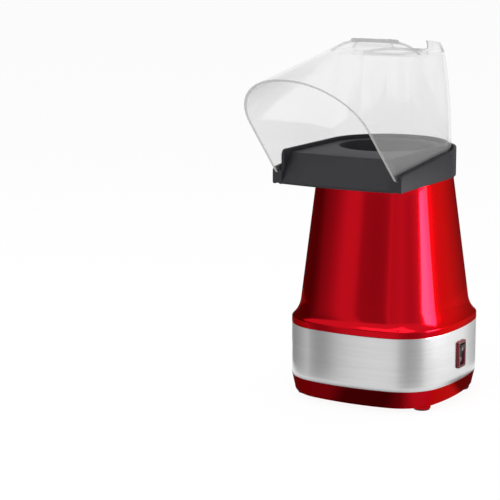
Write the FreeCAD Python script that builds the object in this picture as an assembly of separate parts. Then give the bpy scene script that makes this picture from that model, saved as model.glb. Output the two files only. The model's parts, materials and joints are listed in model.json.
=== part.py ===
import FreeCAD, Part
import math
import os

# Hot-air popcorn maker. Millimetres, +Z up, origin on the table under the body's upright axis.
# The chute and the open mouth of the dome face -Y, and the power switch faces +X.

V = FreeCAD.Vector

# Plan outline of the body: four bowed sides joined by round corners
BASE_HALF = 71.0
BASE_SIDE_R = 200.0
BASE_CORNER_R = 40.0
WAIST_HALF = 64.5
WAIST_SIDE_R = 188.3
WAIST_CORNER_R = 37.7
TOP_HALF = 52.5
TOP_SIDE_R = 150.0
TOP_FRONT_CORNER_R = 26.0
TOP_BACK_CORNER_R = 38.0

# Heights of the body, from the table up
PAD_T = 1.0
NUB_H = 2.0
SKIRT_H = 15.5
BAND_H = 44.5
LIP_H = 5.5
FLARE_H = 14.0
TAPER_H = 104.5
FLARE_STEPS = 8
FLARE_BEND_IN = 0.84
FLARE_BEND_UP = 0.38

# Walls and fits of the body
HOUSING_WALL = 2.4
ROOF_T = 4.0
FLOOR_T = 2.5
BAND_T = 0.6
BAND_GAP = 0.2
LIP_PROUD = 0.2
SKIRT_TOP_INSET = 0.2
SKIRT_SIDE_INSET = 2.6
SKIRT_FOOT_INSET = 7.5
SKIRT_ROUND_H = 4.5
LOCATE_T = 2.0
LOCATE_H = 5.0
LOCATE_GAP = 0.3
ASSEMBLY_GAP = 0.3
PRESS_GAP = 0.02
RUNNING_GAP = 0.05

# Feet
FOOT_X = 54.3
FOOT_Y = 39.0
NUB_R = 7.4
PAD_R = 6.7

# Fasteners
SCREW_R = 1.45
SCREW_HOLE_GAP = 0.05
SCREW_HEAD_R = 2.8
SCREW_HEAD_H = 1.7
DRIVE_W = 0.7
DRIVE_DEPTH = 0.8
BASE_SCREW_L = 18.0
CHASSIS_SCREW_L = 16.0
MOTOR_SCREW_L = 4.2
CHAMBER_SCREW_R = 1.2
CHAMBER_SCREW_HEAD_R = 2.3
CHAMBER_SCREW_L = 4.6

# Bosses that take the base screws
BOSS_XY = 44.0
BOSS_R = 4.2
BOSS_RIB_T = 2.4

# Air intake in the floor
INTAKE_R = 40.0
GRILLE_T = 2.0
GRILLE_RIM = 8.0
GRILLE_SLOT_W = 3.0
GRILLE_PITCH = 6.0
GRILLE_EDGE = 2.0

# Blower
LEG_XY = 30.5
LEG_R = 4.0
LEG_H = 50.5
PLATE_T = 2.5
SHROUD_H = 23.5
SHROUD_T = 2.4
TIP_GAP = 1.5
WINDOW_IN_R = 21.0
WINDOW_OUT_R = 35.0
WINDOW_SPOKE_W = 6.0
IMPELLER_R = 38.5
IMPELLER_H = 14.0
IMPELLER_LIFT = 3.0
HUB_R = 9.0
BLADE_COUNT = 7
BLADE_T = 1.6
BLADE_PITCH = 35.0

# Motor
CAN_R = 18.0
CAN_L = 37.0
CAN_T = 1.2
NOSE_R = 5.0
NOSE_H = 2.0
NOSE_DEPTH = 4.0
NOSE_GAP = 0.1
BUSH_R = 3.5
SHAFT_R = 1.6
SHAFT_TAIL = 0.5
END_CAP_T = 4.0
END_CAP_SPIGOT = 2.0
MAGNET_T = 3.1
MAGNET_L = 22.0
MAGNET_SLOT = 8.0
CORE_L = 18.0
CORE_R = 12.9
SLOT_COUNT = 5
SLOT_R = 3.0
SLOT_CIRCLE_R = 8.5
SLOT_MOUTH_W = 2.0
WINDING_GAP = 0.3
WINDING_END_L = 3.0
COMMUTATOR_R = 4.2
COMMUTATOR_L = 5.0
COMMUTATOR_LIFT = 0.6
BRUSH_GAP = 0.1
BRUSH_L = 4.7
BRUSH_W = 3.0
BRUSH_POST_T = 3.0
MOTOR_SCREW_X = 12.0
TERMINAL_X = 12.0
TERMINAL_W = 5.0
TERMINAL_T = 0.8
TERMINAL_L = 8.2
BOARD_R = 17.0
BOARD_T = 1.6
BOARD_DROP = 5.9
DIODE_R = 1.4
DIODE_L = 5.2
DIODE_PITCH = 3.6

# Heater, air duct and popping chamber
DUCT_R = 47.0
DUCT_T = 0.8
MICA_T = 0.8
MICA_H = 16.0
MICA_END_GAP = 0.7
MICA_SLOT_GAP = 0.1
COIL_R = 1.75
COIL_START_R = 12.0
COIL_PITCH = 7.0
COIL_HALF_TURNS = 8
COIL_LIFT = 0.05
CHAMBER_R = 41.0
CHAMBER_T = 1.2
CHAMBER_CLEAR = 2.5
CHAMBER_FLANGE_R = 48.0
CHAMBER_HOLE_GAP = 2.0
LOUVRE_COUNT = 24
LOUVRE_W = 1.6
LOUVRE_H = 12.0
LOUVRE_LIFT = 5.0
GASKET_T = 1.0
CHAMBER_SCREW_CIRCLE_R = 45.0
CHAMBER_SCREW_COUNT = 4
THERMOSTAT_R = 7.5
THERMOSTAT_L = 6.7
THERMOSTAT_LIFT = 46.0
FUSE_R = 2.3
FUSE_L = 12.0
FUSE_LIFT = 34.0

# Power switch, centred in the +X side of the band
SWITCH_LIFT = 22.2
BEZEL_W = 14.6
BEZEL_H = 23.0
BEZEL_T = 1.8
SWITCH_W = 12.2
SWITCH_H = 20.4
SWITCH_DEPTH = 13.0
SWITCH_WINDOW_GAP = 0.2
ROCKER_W = 8.8
ROCKER_H = 16.8
ROCKER_SIDE_GAP = 0.2
ROCKER_END_GAP = 0.8
ROCKER_FACE = 2.6
ROCKER_DISH = 0.8
ROCKER_EDGE = 2.0
ROCKER_ROOT = 3.0
ROCKER_ROOT_HALF = 4.0
ROCKER_REST_TILT = 10.0
PIVOT_DEPTH = 3.35
PIVOT_R = 1.2
PIVOT_L = 1.0
PIVOT_HOLE_L = 1.2
WELL_FLOOR_GAP = 1.6
BLADE_W = 4.8
BLADE_STOCK_T = 0.8
BLADE_OUT = 8.0
BLADE_SPREAD = 10.0

# Gland of the mains lead, in the rear of the skirt
GLAND_LIFT = 8.8
GLAND_R = 5.0
GLAND_FLANGE_R = 6.0
GLAND_FLANGE_T = 2.0
GLAND_COLLAR_R = 5.8
GLAND_COLLAR_T = 2.6
GLAND_HOLE_GAP = 0.1
LEAD_SLOT_W = 6.4
LEAD_SLOT_H = 3.6

# Dome
DOME_T = 2.2
DOME_PLAY = 1.0
DOME_LEAN = 2.0
MOUTH_REACH = 178.2
MOUTH_H = 85.3
MOUTH_OVERRUN = 8.3
MOUTH_TOE_GAP = 0.9
MOUTH_TOE_ROUND = 6.0
MOUTH_SIDE_H = 33.0
MOUTH_SIDE_R = 288.0
MOUTH_CORNER_R = 51.0
MOUTH_TOP_R = 69.0
RIDGE_H = 104.9
RIDGE_SIDE_H = 65.0
RIDGE_SIDE_R = 186.0
RIDGE_CORNER_R = 35.0
RIDGE_TOP_R = 338.0
BACK_H = 122.0
BACK_SIDE_H = 31.0
BACK_SIDE_R = 467.0
BACK_CORNER_R = 40.0
BACK_TOP_R = 150.0
SEAT_FRONT_Y = -24.0
SEAT_H = 94.4
SEAT_FRONT_RISE = 11.6
SEAT_FRONT_HALF = 22.0
SEAT_BACK_RISE = 6.8
SEAT_BACK_START_Y = 18.0
SEAT_BACK_ROUND = 5.0
SEAT_WALL_ROUND = 3.0
NOTCH_START_Y = 36.5
NOTCH_HALF = 17.0
NOTCH_DEPTH = 9.2
NOTCH_R = 6.0
POUR_HALF = 18.0
POUR_FRONT_GAP = 8.0
POUR_BACK_Y = 34.0
POUR_R = 8.0

# Chute tray
TRAY_HALF = 58.0
TRAY_WALL = 2.5
TRAY_FRONT_Y = -91.6
TRAY_FRONT_BOW = 5.0
TRAY_BOTTOM_ROUND = 1.2
CHANNEL_H = 9.0
DECK_H = 24.6
INNER_WALL_RISE = 3.4
INNER_WALL_T = 2.5
OUTER_WALL_H = 24.6
OUTER_WALL_FRONT_H = 13.6
OUTER_WALL_ROUND = 4.0
OUTER_SLOPE_END_Y = 30.0
CHEEK_FRONT_Y = -89.0
CHEEK_ROUND = 4.0
RAMP_RUN = 16.0
RAMP_LIP_H = 2.6
RAMP_SETBACK = 0.6
CHIMNEY_T = 2.4

# Levels and fits worked out from the sizes above
SKIRT_BOTTOM = PAD_T + NUB_H
FLOOR_TOP = SKIRT_BOTTOM + FLOOR_T
BAND_BOTTOM = SKIRT_BOTTOM + SKIRT_H
BAND_TOP = BAND_BOTTOM + BAND_H
LIP_TOP = BAND_TOP + LIP_H
WAIST_Z = LIP_TOP + FLARE_H
BODY_TOP = WAIST_Z + TAPER_H
ROOF_BOTTOM = BODY_TOP - ROOF_T
CARRIER_INSET = BAND_T + BAND_GAP
CARRIER_BORE_INSET = CARRIER_INSET + HOUSING_WALL
LOCATE_INSET = CARRIER_BORE_INSET + LOCATE_GAP
SKIRT_BORE_INSET = LOCATE_INSET + LOCATE_T

GRILLE_TOP = FLOOR_TOP + GRILLE_T
PLATE_Z = GRILLE_TOP + LEG_H
PLATE_TOP = PLATE_Z + PLATE_T
SHROUD_IN_R = IMPELLER_R + TIP_GAP
SHROUD_OUT_R = SHROUD_IN_R + SHROUD_T
DUCT_Z = PLATE_TOP + SHROUD_H
FLANGE_R = DUCT_R + 1.0
IMPELLER_Z = PLATE_TOP + IMPELLER_LIFT
CAN_BOTTOM = PLATE_Z - CAN_L
CAN_BORE_R = CAN_R - CAN_T
END_CAP_Z = CAN_BOTTOM - END_CAP_T
NOSE_TOP = PLATE_Z + NOSE_H
COMMUTATOR_Z = CAN_BOTTOM + END_CAP_SPIGOT + COMMUTATOR_LIFT
WINDING_Z = COMMUTATOR_Z + COMMUTATOR_L + 1.0
CORE_Z = WINDING_Z + WINDING_END_L + WINDING_GAP
SHAFT_BORE_R = SHAFT_R + PRESS_GAP
BOARD_Z = END_CAP_Z - BOARD_DROP - BOARD_T

COIL_Z = DUCT_Z + MICA_H + COIL_R + COIL_LIFT
CHAMBER_Z = COIL_Z + COIL_R + CHAMBER_CLEAR
GASKET_TOP = BODY_TOP + GASKET_T
CHAMBER_TOP = GASKET_TOP + CHAMBER_T
CHAMBER_BORE_R = CHAMBER_R - CHAMBER_T
CHAMBER_HOLE_R = CHAMBER_R + CHAMBER_HOLE_GAP

SWITCH_Z = BAND_BOTTOM + SWITCH_LIFT
BEZEL_X = BASE_HALF + RUNNING_GAP
PIVOT_X = BEZEL_X + BEZEL_T - PIVOT_DEPTH
GLAND_Z = SKIRT_BOTTOM + GLAND_LIFT

CHANNEL_W = DOME_T + 2 * DOME_PLAY
CHANNEL_OUT = TRAY_HALF - TRAY_WALL
CHEEK_OUT = CHANNEL_OUT - CHANNEL_W
CHEEK_IN = CHEEK_OUT - INNER_WALL_T
CHANNEL_Z = BODY_TOP + CHANNEL_H
DECK_Z = BODY_TOP + DECK_H
INNER_WALL_TOP = DECK_Z + INNER_WALL_RISE
RAMP_Z = BODY_TOP + RAMP_LIP_H
RAMP_RISE = DECK_Z - RAMP_Z

DOME_FOOT_HALF = CHANNEL_OUT - DOME_PLAY
SEAT_Z = CHANNEL_Z + SEAT_H
MOUTH_APEX_Z = CHANNEL_Z + MOUTH_H
RIDGE_Z = CHANNEL_Z + RIDGE_H
MOUTH_TOE_Y = TRAY_FRONT_Y - MOUTH_TOE_GAP

# A length that is larger than the whole object, for cutting tools
BEYOND = 400.0


def cylinder(radius, z0, z1, x=0.0, y=0.0):
    return Part.makeCylinder(radius, z1 - z0, V(x, y, z0))


def tube(inner_r, outer_r, z0, z1):
    return cylinder(outer_r, z0, z1).cut(cylinder(inner_r, z0 - 1, z1 + 1))


def block(x0, x1, y0, y1, z0, z1):
    return Part.makeBox(x1 - x0, y1 - y0, z1 - z0, V(x0, y0, z0))


def fused(shapes):
    first, *others = shapes
    return first.multiFuse(others).removeSplitter() if others else first


def arc(start, middle, end):
    return Part.Arc(start, middle, end).toShape()


def four_corners(x, y):
    return [(x, y), (-x, y), (-x, -y), (x, -y)]


def prism_x(points, x0, x1):
    """Solid between x0 and x1 over a closed outline of (y, z) points."""
    corners = [V(x0, y, z) for y, z in points]
    face = Part.Face(Part.makePolygon(corners + corners[:1]))
    return face.extrude(V(x1 - x0, 0, 0))


# Body outlines: a section is (z, half, side radius, front corner radius, back corner radius)
def inset(section, depth):
    z, *sizes = section
    return (z, *[size - depth for size in sizes])


def at_height(section, z):
    return (z, *section[1:])


def between(low, high, share, z):
    sizes = [a + (b - a) * share for a, b in zip(low[1:], high[1:])]
    return (z, *sizes)


def corner_centre(half, side_r, corner_r):
    """Distance along X and Y of the corner arc that is tangent to both bowed sides."""
    reach = side_r - half
    return (math.sqrt(2 * (side_r - corner_r) ** 2 - reach ** 2) - reach) / 2


def corner_reach(section):
    """Distance from the axis to the outline on the front diagonal."""
    _, half, side_r, front_r, _ = section
    return corner_centre(half, side_r, front_r) * math.sqrt(2) + front_r


def outline(section):
    z, half, side_r, front_r, back_r = section
    joints = {}
    middles = {}
    for sx, sy, corner_r in ((1, 1, back_r), (-1, 1, back_r), (-1, -1, front_r), (1, -1, front_r)):
        reach = corner_centre(half, side_r, corner_r)
        centre = V(sx * reach, sy * reach, z)
        side_x = V(sx * (half - side_r), 0, z)
        side_y = V(0, sy * (half - side_r), z)
        on_x = (centre - side_x).normalize()
        on_y = (centre - side_y).normalize()
        joints[sx, sy] = (side_x + on_x * side_r, side_y + on_y * side_r)
        middles[sx, sy] = centre + V(sx, sy, 0).normalize() * corner_r
    edges = []
    for corner, following in (((1, -1), (1, 1)), ((1, 1), (-1, 1)), ((-1, 1), (-1, -1)), ((-1, -1), (1, -1))):
        along = 0 if corner[0] == following[0] else 1
        out = V(corner[0] * half, 0, z) if along == 0 else V(0, corner[1] * half, z)
        edges.append(arc(joints[corner][along], out, joints[following][along]))
        edges.append(arc(joints[following][along], middles[following], joints[following][1 - along]))
    return Part.Wire(edges)


def body_loft(sections):
    return Part.makeLoft([outline(section) for section in sections], True, True)


BASE = (BAND_BOTTOM, BASE_HALF, BASE_SIDE_R, BASE_CORNER_R, BASE_CORNER_R)
WAIST = (WAIST_Z, WAIST_HALF, WAIST_SIDE_R, WAIST_CORNER_R, WAIST_CORNER_R)
TOP = (BODY_TOP, TOP_HALF, TOP_SIDE_R, TOP_FRONT_CORNER_R, TOP_BACK_CORNER_R)


def narrower(section, limit):
    """The section with no size larger than the limit's."""
    z, *sizes = section
    return (z, *[min(size, most) for size, most in zip(sizes, limit[1:])])


def flare_sections(lip, depth=0.0):
    """Concave sweep that leaves the lip on a slant and runs upright into the waist, moved in by depth."""
    sections = []
    for step in range(FLARE_STEPS + 1):
        along = step / FLARE_STEPS
        bend = 2 * along * (1 - along)
        outward = FLARE_H * (FLARE_BEND_UP * (1 - 2 * along) + along)
        upward = (lip[1] - WAIST_HALF) * (FLARE_BEND_IN * (1 - 2 * along) + along)
        share = depth / math.hypot(outward, upward)
        z = LIP_TOP + FLARE_H * (bend * FLARE_BEND_UP + along ** 2) - upward * share
        sections.append(inset(between(lip, WAIST, bend * FLARE_BEND_IN + along ** 2, z), outward * share))
    return sections


def skirt_sections():
    """Slight taper down from the band, then a round edge into the floor."""
    side_z = SKIRT_BOTTOM + SKIRT_ROUND_H
    side = at_height(inset(BASE, SKIRT_SIDE_INSET), side_z)
    foot = inset(BASE, SKIRT_FOOT_INSET)
    sections = [inset(BASE, SKIRT_TOP_INSET)]
    for step in range(FLARE_STEPS + 1):
        angle = math.radians(90 * step / FLARE_STEPS)
        z = side_z - SKIRT_ROUND_H * math.sin(angle)
        sections.append(between(side, foot, 1 - math.cos(angle), z))
    return sections


def screw(x, y, seat_z, length, upward, radius=SCREW_R, head_r=SCREW_HEAD_R):
    """Pan-head screw with a cross recess, its head's flat side on seat_z."""
    half = DRIVE_W / 2
    head = cylinder(head_r, -SCREW_HEAD_H, 0)
    shape = head.fuse(cylinder(radius, -SCREW_HEAD_H / 2, length))
    arm = head_r * 0.6
    recess_top = DRIVE_DEPTH - SCREW_HEAD_H
    for across, along in ((arm, half), (half, arm)):
        shape = shape.cut(block(-across, across, -along, along, -SCREW_HEAD_H - 1, recess_top))
    if not upward:
        shape.rotate(V(0, 0, 0), V(1, 0, 0), 180)
    shape.translate(V(x, y, seat_z))
    return shape


# Shells of the body
def upper_housing():
    lip = at_height(inset(BASE, -LIP_PROUD), LIP_TOP)
    outer = body_loft([at_height(lip, BAND_TOP), *flare_sections(lip), TOP])
    carrier = body_loft([inset(BASE, CARRIER_INSET), at_height(inset(BASE, CARRIER_INSET), LIP_TOP)])
    bore = inset(BASE, CARRIER_BORE_INSET)
    roof_share = (ROOF_BOTTOM - WAIST_Z) / TAPER_H
    under_roof = inset(between(WAIST, TOP, roof_share, ROOF_BOTTOM), HOUSING_WALL)
    shoulder = [narrower(section, bore) for section in flare_sections(lip, HOUSING_WALL)]
    cavity = body_loft([at_height(bore, BAND_BOTTOM - 1), *shoulder, under_roof])
    shell = outer.fuse(carrier).cut(cavity)
    shell = shell.cut(cylinder(CHAMBER_HOLE_R, ROOF_BOTTOM - 1, BODY_TOP + 1))
    for x, y in chamber_screw_places():
        shell = shell.cut(cylinder(CHAMBER_SCREW_R + SCREW_HOLE_GAP, ROOF_BOTTOM - 1, BODY_TOP + 1, x, y))
    shell = shell.cut(switch_window())
    posts = []
    wall_reach = corner_reach(bore) + HOUSING_WALL / 2
    rib_z = BAND_BOTTOM + LOCATE_H + LOCATE_GAP
    boss_reach = BOSS_XY * math.sqrt(2)
    for turn, (x, y) in zip((45, 135, 225, 315), four_corners(BOSS_XY, BOSS_XY)):
        posts.append(cylinder(BOSS_R, FLOOR_TOP, BAND_TOP, x, y))
        rib = block(boss_reach, wall_reach, -BOSS_RIB_T / 2, BOSS_RIB_T / 2, rib_z, BAND_TOP)
        rib.rotate(V(0, 0, 0), V(0, 0, 1), turn)
        posts.append(rib)
    shell = fused([shell, *posts])
    for x, y in four_corners(BOSS_XY, BOSS_XY):
        shell = shell.cut(cylinder(SCREW_R + SCREW_HOLE_GAP, FLOOR_TOP - 1, FLOOR_TOP + BASE_SCREW_L, x, y))
    return shell


def switch_window():
    half_w = SWITCH_W / 2 + SWITCH_WINDOW_GAP
    half_h = SWITCH_H / 2 + SWITCH_WINDOW_GAP
    return block(BASE_HALF - SWITCH_DEPTH, BASE_HALF + 1, -half_w, half_w,
                 SWITCH_Z - half_h, SWITCH_Z + half_h)


def steel_band():
    outer = body_loft([BASE, at_height(BASE, BAND_TOP)])
    sleeve = inset(BASE, BAND_T)
    inner = body_loft([at_height(sleeve, BAND_BOTTOM - 1), at_height(sleeve, BAND_TOP + 1)])
    return outer.cut(inner).cut(switch_window())


def base_shell():
    locate = inset(BASE, LOCATE_INSET)
    lip = body_loft([at_height(locate, FLOOR_TOP), at_height(locate, BAND_BOTTOM + LOCATE_H)])
    bore = inset(BASE, SKIRT_BORE_INSET)
    cavity = body_loft([at_height(bore, FLOOR_TOP), at_height(bore, BAND_BOTTOM + LOCATE_H + 1)])
    outer = body_loft(list(reversed(skirt_sections())))
    shell = outer.fuse(lip).cut(cavity)
    nubs = [cylinder(NUB_R, PAD_T, FLOOR_TOP, x, y) for x, y in four_corners(FOOT_X, FOOT_Y)]
    shell = fused([shell, *nubs])
    shell = shell.cut(cylinder(INTAKE_R, SKIRT_BOTTOM - 1, FLOOR_TOP + 1))
    for x, y in four_corners(BOSS_XY, BOSS_XY) + four_corners(LEG_XY, LEG_XY):
        shell = shell.cut(cylinder(SCREW_R + SCREW_HOLE_GAP, SKIRT_BOTTOM - 1, FLOOR_TOP + 1, x, y))
    gland_hole = Part.makeCylinder(GLAND_R + GLAND_HOLE_GAP, BASE_HALF, V(0, 0, GLAND_Z), V(0, 1, 0))
    return shell.cut(gland_hole)


def foot_pads():
    return [cylinder(PAD_R, 0, PAD_T, x, y) for x, y in four_corners(FOOT_X, FOOT_Y)]


def base_screws():
    return [screw(x, y, SKIRT_BOTTOM, BASE_SCREW_L, True) for x, y in four_corners(BOSS_XY, BOSS_XY)]


def intake_grille():
    disc = cylinder(INTAKE_R + GRILLE_RIM, FLOOR_TOP, GRILLE_TOP)
    open_r = INTAKE_R - GRILLE_EDGE
    rows = int(open_r / GRILLE_PITCH)
    half = GRILLE_SLOT_W / 2
    slots = []
    for row in range(-rows, rows + 1):
        y = row * GRILLE_PITCH
        for x0, x1 in ((-open_r, -half), (half, open_r)):
            slots.append(block(x0, x1, y - half, y + half, FLOOR_TOP - 1, GRILLE_TOP + 1))
    bar_cut = fused(slots).common(cylinder(open_r, FLOOR_TOP - 1, GRILLE_TOP + 1))
    disc = disc.cut(bar_cut)
    for x, y in four_corners(LEG_XY, LEG_XY):
        disc = disc.cut(cylinder(SCREW_R + SCREW_HOLE_GAP, FLOOR_TOP - 1, GRILLE_TOP + 1, x, y))
    return disc


def chassis_screws():
    return [screw(x, y, SKIRT_BOTTOM, CHASSIS_SCREW_L, True) for x, y in four_corners(LEG_XY, LEG_XY)]


# Blower
def blower_housing():
    plate = cylinder(FLANGE_R, PLATE_Z, PLATE_TOP)
    windows = tube(WINDOW_IN_R, WINDOW_OUT_R, PLATE_Z - 1, PLATE_TOP + 1)
    half = WINDOW_SPOKE_W / 2
    for along, across in ((FLANGE_R, half), (half, FLANGE_R)):
        windows = windows.cut(block(-along, along, -across, across, PLATE_Z - 2, PLATE_TOP + 2))
    plate = plate.cut(windows).cut(cylinder(NOSE_R + NOSE_GAP, PLATE_Z - 1, PLATE_TOP + 1))
    shroud = tube(SHROUD_IN_R, SHROUD_OUT_R, PLATE_TOP, DUCT_Z)
    flange = tube(SHROUD_IN_R, FLANGE_R, DUCT_Z - PLATE_T, DUCT_Z)
    legs = [cylinder(LEG_R, GRILLE_TOP, PLATE_TOP, x, y) for x, y in four_corners(LEG_XY, LEG_XY)]
    housing = fused([plate, shroud, flange, *legs])
    for x, y in four_corners(LEG_XY, LEG_XY):
        depth = SKIRT_BOTTOM + CHASSIS_SCREW_L + 1
        housing = housing.cut(cylinder(SCREW_R + SCREW_HOLE_GAP, GRILLE_TOP - 1, depth, x, y))
    for x in (-MOTOR_SCREW_X, MOTOR_SCREW_X):
        housing = housing.cut(cylinder(SCREW_R + SCREW_HOLE_GAP, PLATE_Z - 1, PLATE_TOP + 1, x, 0))
    return housing


def fan_impeller():
    top = IMPELLER_Z + IMPELLER_H
    hub = cylinder(HUB_R, IMPELLER_Z, top)
    envelope = tube(HUB_R / 2, IMPELLER_R, IMPELLER_Z, top)
    chord = IMPELLER_H / math.sin(math.radians(BLADE_PITCH))
    blades = []
    for index in range(BLADE_COUNT):
        blade = block(0, IMPELLER_R + 1, -chord / 2, chord / 2, -BLADE_T / 2, BLADE_T / 2)
        blade.rotate(V(0, 0, 0), V(1, 0, 0), BLADE_PITCH)
        blade.translate(V(0, 0, IMPELLER_Z + IMPELLER_H / 2))
        blade.rotate(V(0, 0, 0), V(0, 0, 1), 360 * index / BLADE_COUNT)
        blades.append(blade.common(envelope))
    wheel = fused([hub, *blades])
    return wheel.cut(cylinder(SHAFT_BORE_R, IMPELLER_Z - 1, top + 1))


# Motor
def motor_can():
    can = cylinder(CAN_R, CAN_BOTTOM, PLATE_Z).cut(cylinder(CAN_BORE_R, CAN_BOTTOM - 1, PLATE_Z - CAN_T))
    nose = cylinder(NOSE_R, PLATE_Z - CAN_T - NOSE_DEPTH, NOSE_TOP)
    can = fused([can, nose])
    can = can.cut(cylinder(BUSH_R + PRESS_GAP, CAN_BOTTOM, NOSE_TOP + 1))
    for x in (-MOTOR_SCREW_X, MOTOR_SCREW_X):
        can = can.cut(cylinder(SCREW_R + SCREW_HOLE_GAP, PLATE_Z - CAN_T - 1, PLATE_Z + 1, x, 0))
    return can


def motor_end_cap():
    spigot_top = CAN_BOTTOM + END_CAP_SPIGOT
    cap = cylinder(CAN_R, END_CAP_Z, CAN_BOTTOM).fuse(cylinder(CAN_BORE_R - NOSE_GAP, END_CAP_Z, spigot_top))
    post_x = COMMUTATOR_R + BRUSH_GAP + BRUSH_L
    half = BRUSH_W / 2 + 1
    posts = []
    for side in (-1, 1):
        x0, x1 = sorted((side * post_x, side * (post_x + BRUSH_POST_T)))
        posts.append(block(x0, x1, -half, half, CAN_BOTTOM, COMMUTATOR_Z + COMMUTATOR_L))
    return fused([cap, *posts]).cut(cylinder(BUSH_R + PRESS_GAP, END_CAP_Z - 1, spigot_top + 1))


def shaft_bushes():
    lower = tube(SHAFT_R + RUNNING_GAP, BUSH_R, END_CAP_Z, CAN_BOTTOM + END_CAP_SPIGOT)
    upper = tube(SHAFT_R + RUNNING_GAP, BUSH_R, PLATE_Z - CAN_T - NOSE_DEPTH, NOSE_TOP)
    return [lower, upper]


def motor_magnets():
    z0 = CORE_Z + CORE_L / 2 - MAGNET_L / 2
    outer_r = CAN_BORE_R - NOSE_GAP
    ring = tube(outer_r - MAGNET_T, outer_r, z0, z0 + MAGNET_L)
    gap = block(-MAGNET_SLOT / 2, MAGNET_SLOT / 2, -CAN_R, CAN_R, z0 - 1, z0 + MAGNET_L + 1)
    return ring.cut(gap).Solids


def motor_brushes():
    half = BRUSH_W / 2
    z0 = COMMUTATOR_Z + COMMUTATOR_L / 2 - half
    start = COMMUTATOR_R + BRUSH_GAP
    spans = ((start, start + BRUSH_L), (-start - BRUSH_L, -start))
    return [block(x0, x1, -half, half, z0, z0 + BRUSH_W) for x0, x1 in spans]


def terminal_blocks(grow):
    half_t = TERMINAL_T / 2 + grow
    half_w = TERMINAL_W / 2 + grow
    z0 = END_CAP_Z - TERMINAL_L
    return [block(x - half_t, x + half_t, -half_w, half_w, z0, END_CAP_Z) for x in (-TERMINAL_X, TERMINAL_X)]


def motor_terminals():
    return terminal_blocks(0)


def rectifier_board():
    board = cylinder(BOARD_R, BOARD_Z, BOARD_Z + BOARD_T)
    for slot in terminal_blocks(NOSE_GAP):
        board = board.cut(slot)
    return board


def rectifier_diodes():
    z = BOARD_Z + BOARD_T + DIODE_R
    diodes = []
    for index in range(4):
        x = (index - 1.5) * DIODE_PITCH
        diodes.append(Part.makeCylinder(DIODE_R, DIODE_L, V(x, -DIODE_L / 2, z), V(0, 1, 0)))
    return diodes


def motor_screws():
    return [screw(x, 0, PLATE_TOP, MOTOR_SCREW_L, False) for x in (-MOTOR_SCREW_X, MOTOR_SCREW_X)]


def motor_shaft():
    return cylinder(SHAFT_R, END_CAP_Z + SHAFT_TAIL, IMPELLER_Z + IMPELLER_H)


def commutator():
    return tube(SHAFT_BORE_R, COMMUTATOR_R, COMMUTATOR_Z, COMMUTATOR_Z + COMMUTATOR_L)


def slot_places():
    turns = [math.radians(360 * index / SLOT_COUNT) for index in range(SLOT_COUNT)]
    return [(SLOT_CIRCLE_R * math.cos(turn), SLOT_CIRCLE_R * math.sin(turn)) for turn in turns]


def motor_armature():
    top = CORE_Z + CORE_L
    core = tube(SHAFT_BORE_R, CORE_R, CORE_Z, top)
    half = SLOT_MOUTH_W / 2
    for index, (x, y) in enumerate(slot_places()):
        core = core.cut(cylinder(SLOT_R, CORE_Z - 1, top + 1, x, y))
        mouth = block(SLOT_CIRCLE_R, CORE_R + 1, -half, half, CORE_Z - 1, top + 1)
        mouth.rotate(V(0, 0, 0), V(0, 0, 1), 360 * index / SLOT_COUNT)
        core = core.cut(mouth)
    return core


def armature_windings():
    """Copper in the slots, joined by the end turns above and below the core."""
    bundle_r = SLOT_R - WINDING_GAP
    top = CORE_Z + CORE_L + WINDING_GAP
    end_in = SLOT_CIRCLE_R - bundle_r
    end_out = SLOT_CIRCLE_R + bundle_r
    rods = [cylinder(bundle_r, WINDING_Z, top + WINDING_END_L, x, y) for x, y in slot_places()]
    lower = tube(end_in, end_out, WINDING_Z, WINDING_Z + WINDING_END_L)
    upper = tube(end_in, end_out, top, top + WINDING_END_L)
    return fused([lower, upper, *rods])


# Heater, duct and chamber
def heater_frame():
    """Two mica sheets halved into each other to make a cross."""
    arm = DUCT_R - DUCT_T - MICA_END_GAP
    half = MICA_T / 2
    slot = half + MICA_SLOT_GAP
    middle = DUCT_Z + MICA_H / 2
    top = DUCT_Z + MICA_H
    along_x = block(-arm, arm, -half, half, DUCT_Z, top)
    along_y = block(-half, half, -arm, arm, DUCT_Z, top)
    along_x = along_x.cut(block(-slot, slot, -1, 1, middle - MICA_SLOT_GAP, top + 1))
    along_y = along_y.cut(block(-1, 1, -slot, slot, DUCT_Z - 1, middle + MICA_SLOT_GAP))
    return [along_x, along_y]


def heater_coil():
    """Flat spiral of half circles, whose centres step by half the pitch in turn."""
    step = COIL_PITCH / 2
    edges = []
    for turn in range(COIL_HALF_TURNS):
        radius = COIL_START_R + turn * step
        centre = 0 if turn % 2 == 0 else step
        side = 1 if turn % 2 == 0 else -1
        edges.append(arc(V(centre + side * radius, 0, COIL_Z), V(centre, side * radius, COIL_Z),
                         V(centre - side * radius, 0, COIL_Z)))
    path = Part.Wire(edges)
    ring = Part.Wire(Part.makeCircle(COIL_R, V(COIL_START_R, 0, COIL_Z), V(0, 1, 0)))
    coil = path.makePipeShell([ring], True, False)
    print("heater coil: gap between turns", COIL_PITCH - 2 * COIL_R)
    return coil


def air_duct():
    return tube(DUCT_R - DUCT_T, DUCT_R, DUCT_Z, ROOF_BOTTOM - ASSEMBLY_GAP)


def chamber_screw_places():
    places = []
    for index in range(CHAMBER_SCREW_COUNT):
        turn = math.radians(360 * (index + 0.5) / CHAMBER_SCREW_COUNT)
        places.append((CHAMBER_SCREW_CIRCLE_R * math.cos(turn), CHAMBER_SCREW_CIRCLE_R * math.sin(turn)))
    return places


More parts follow.
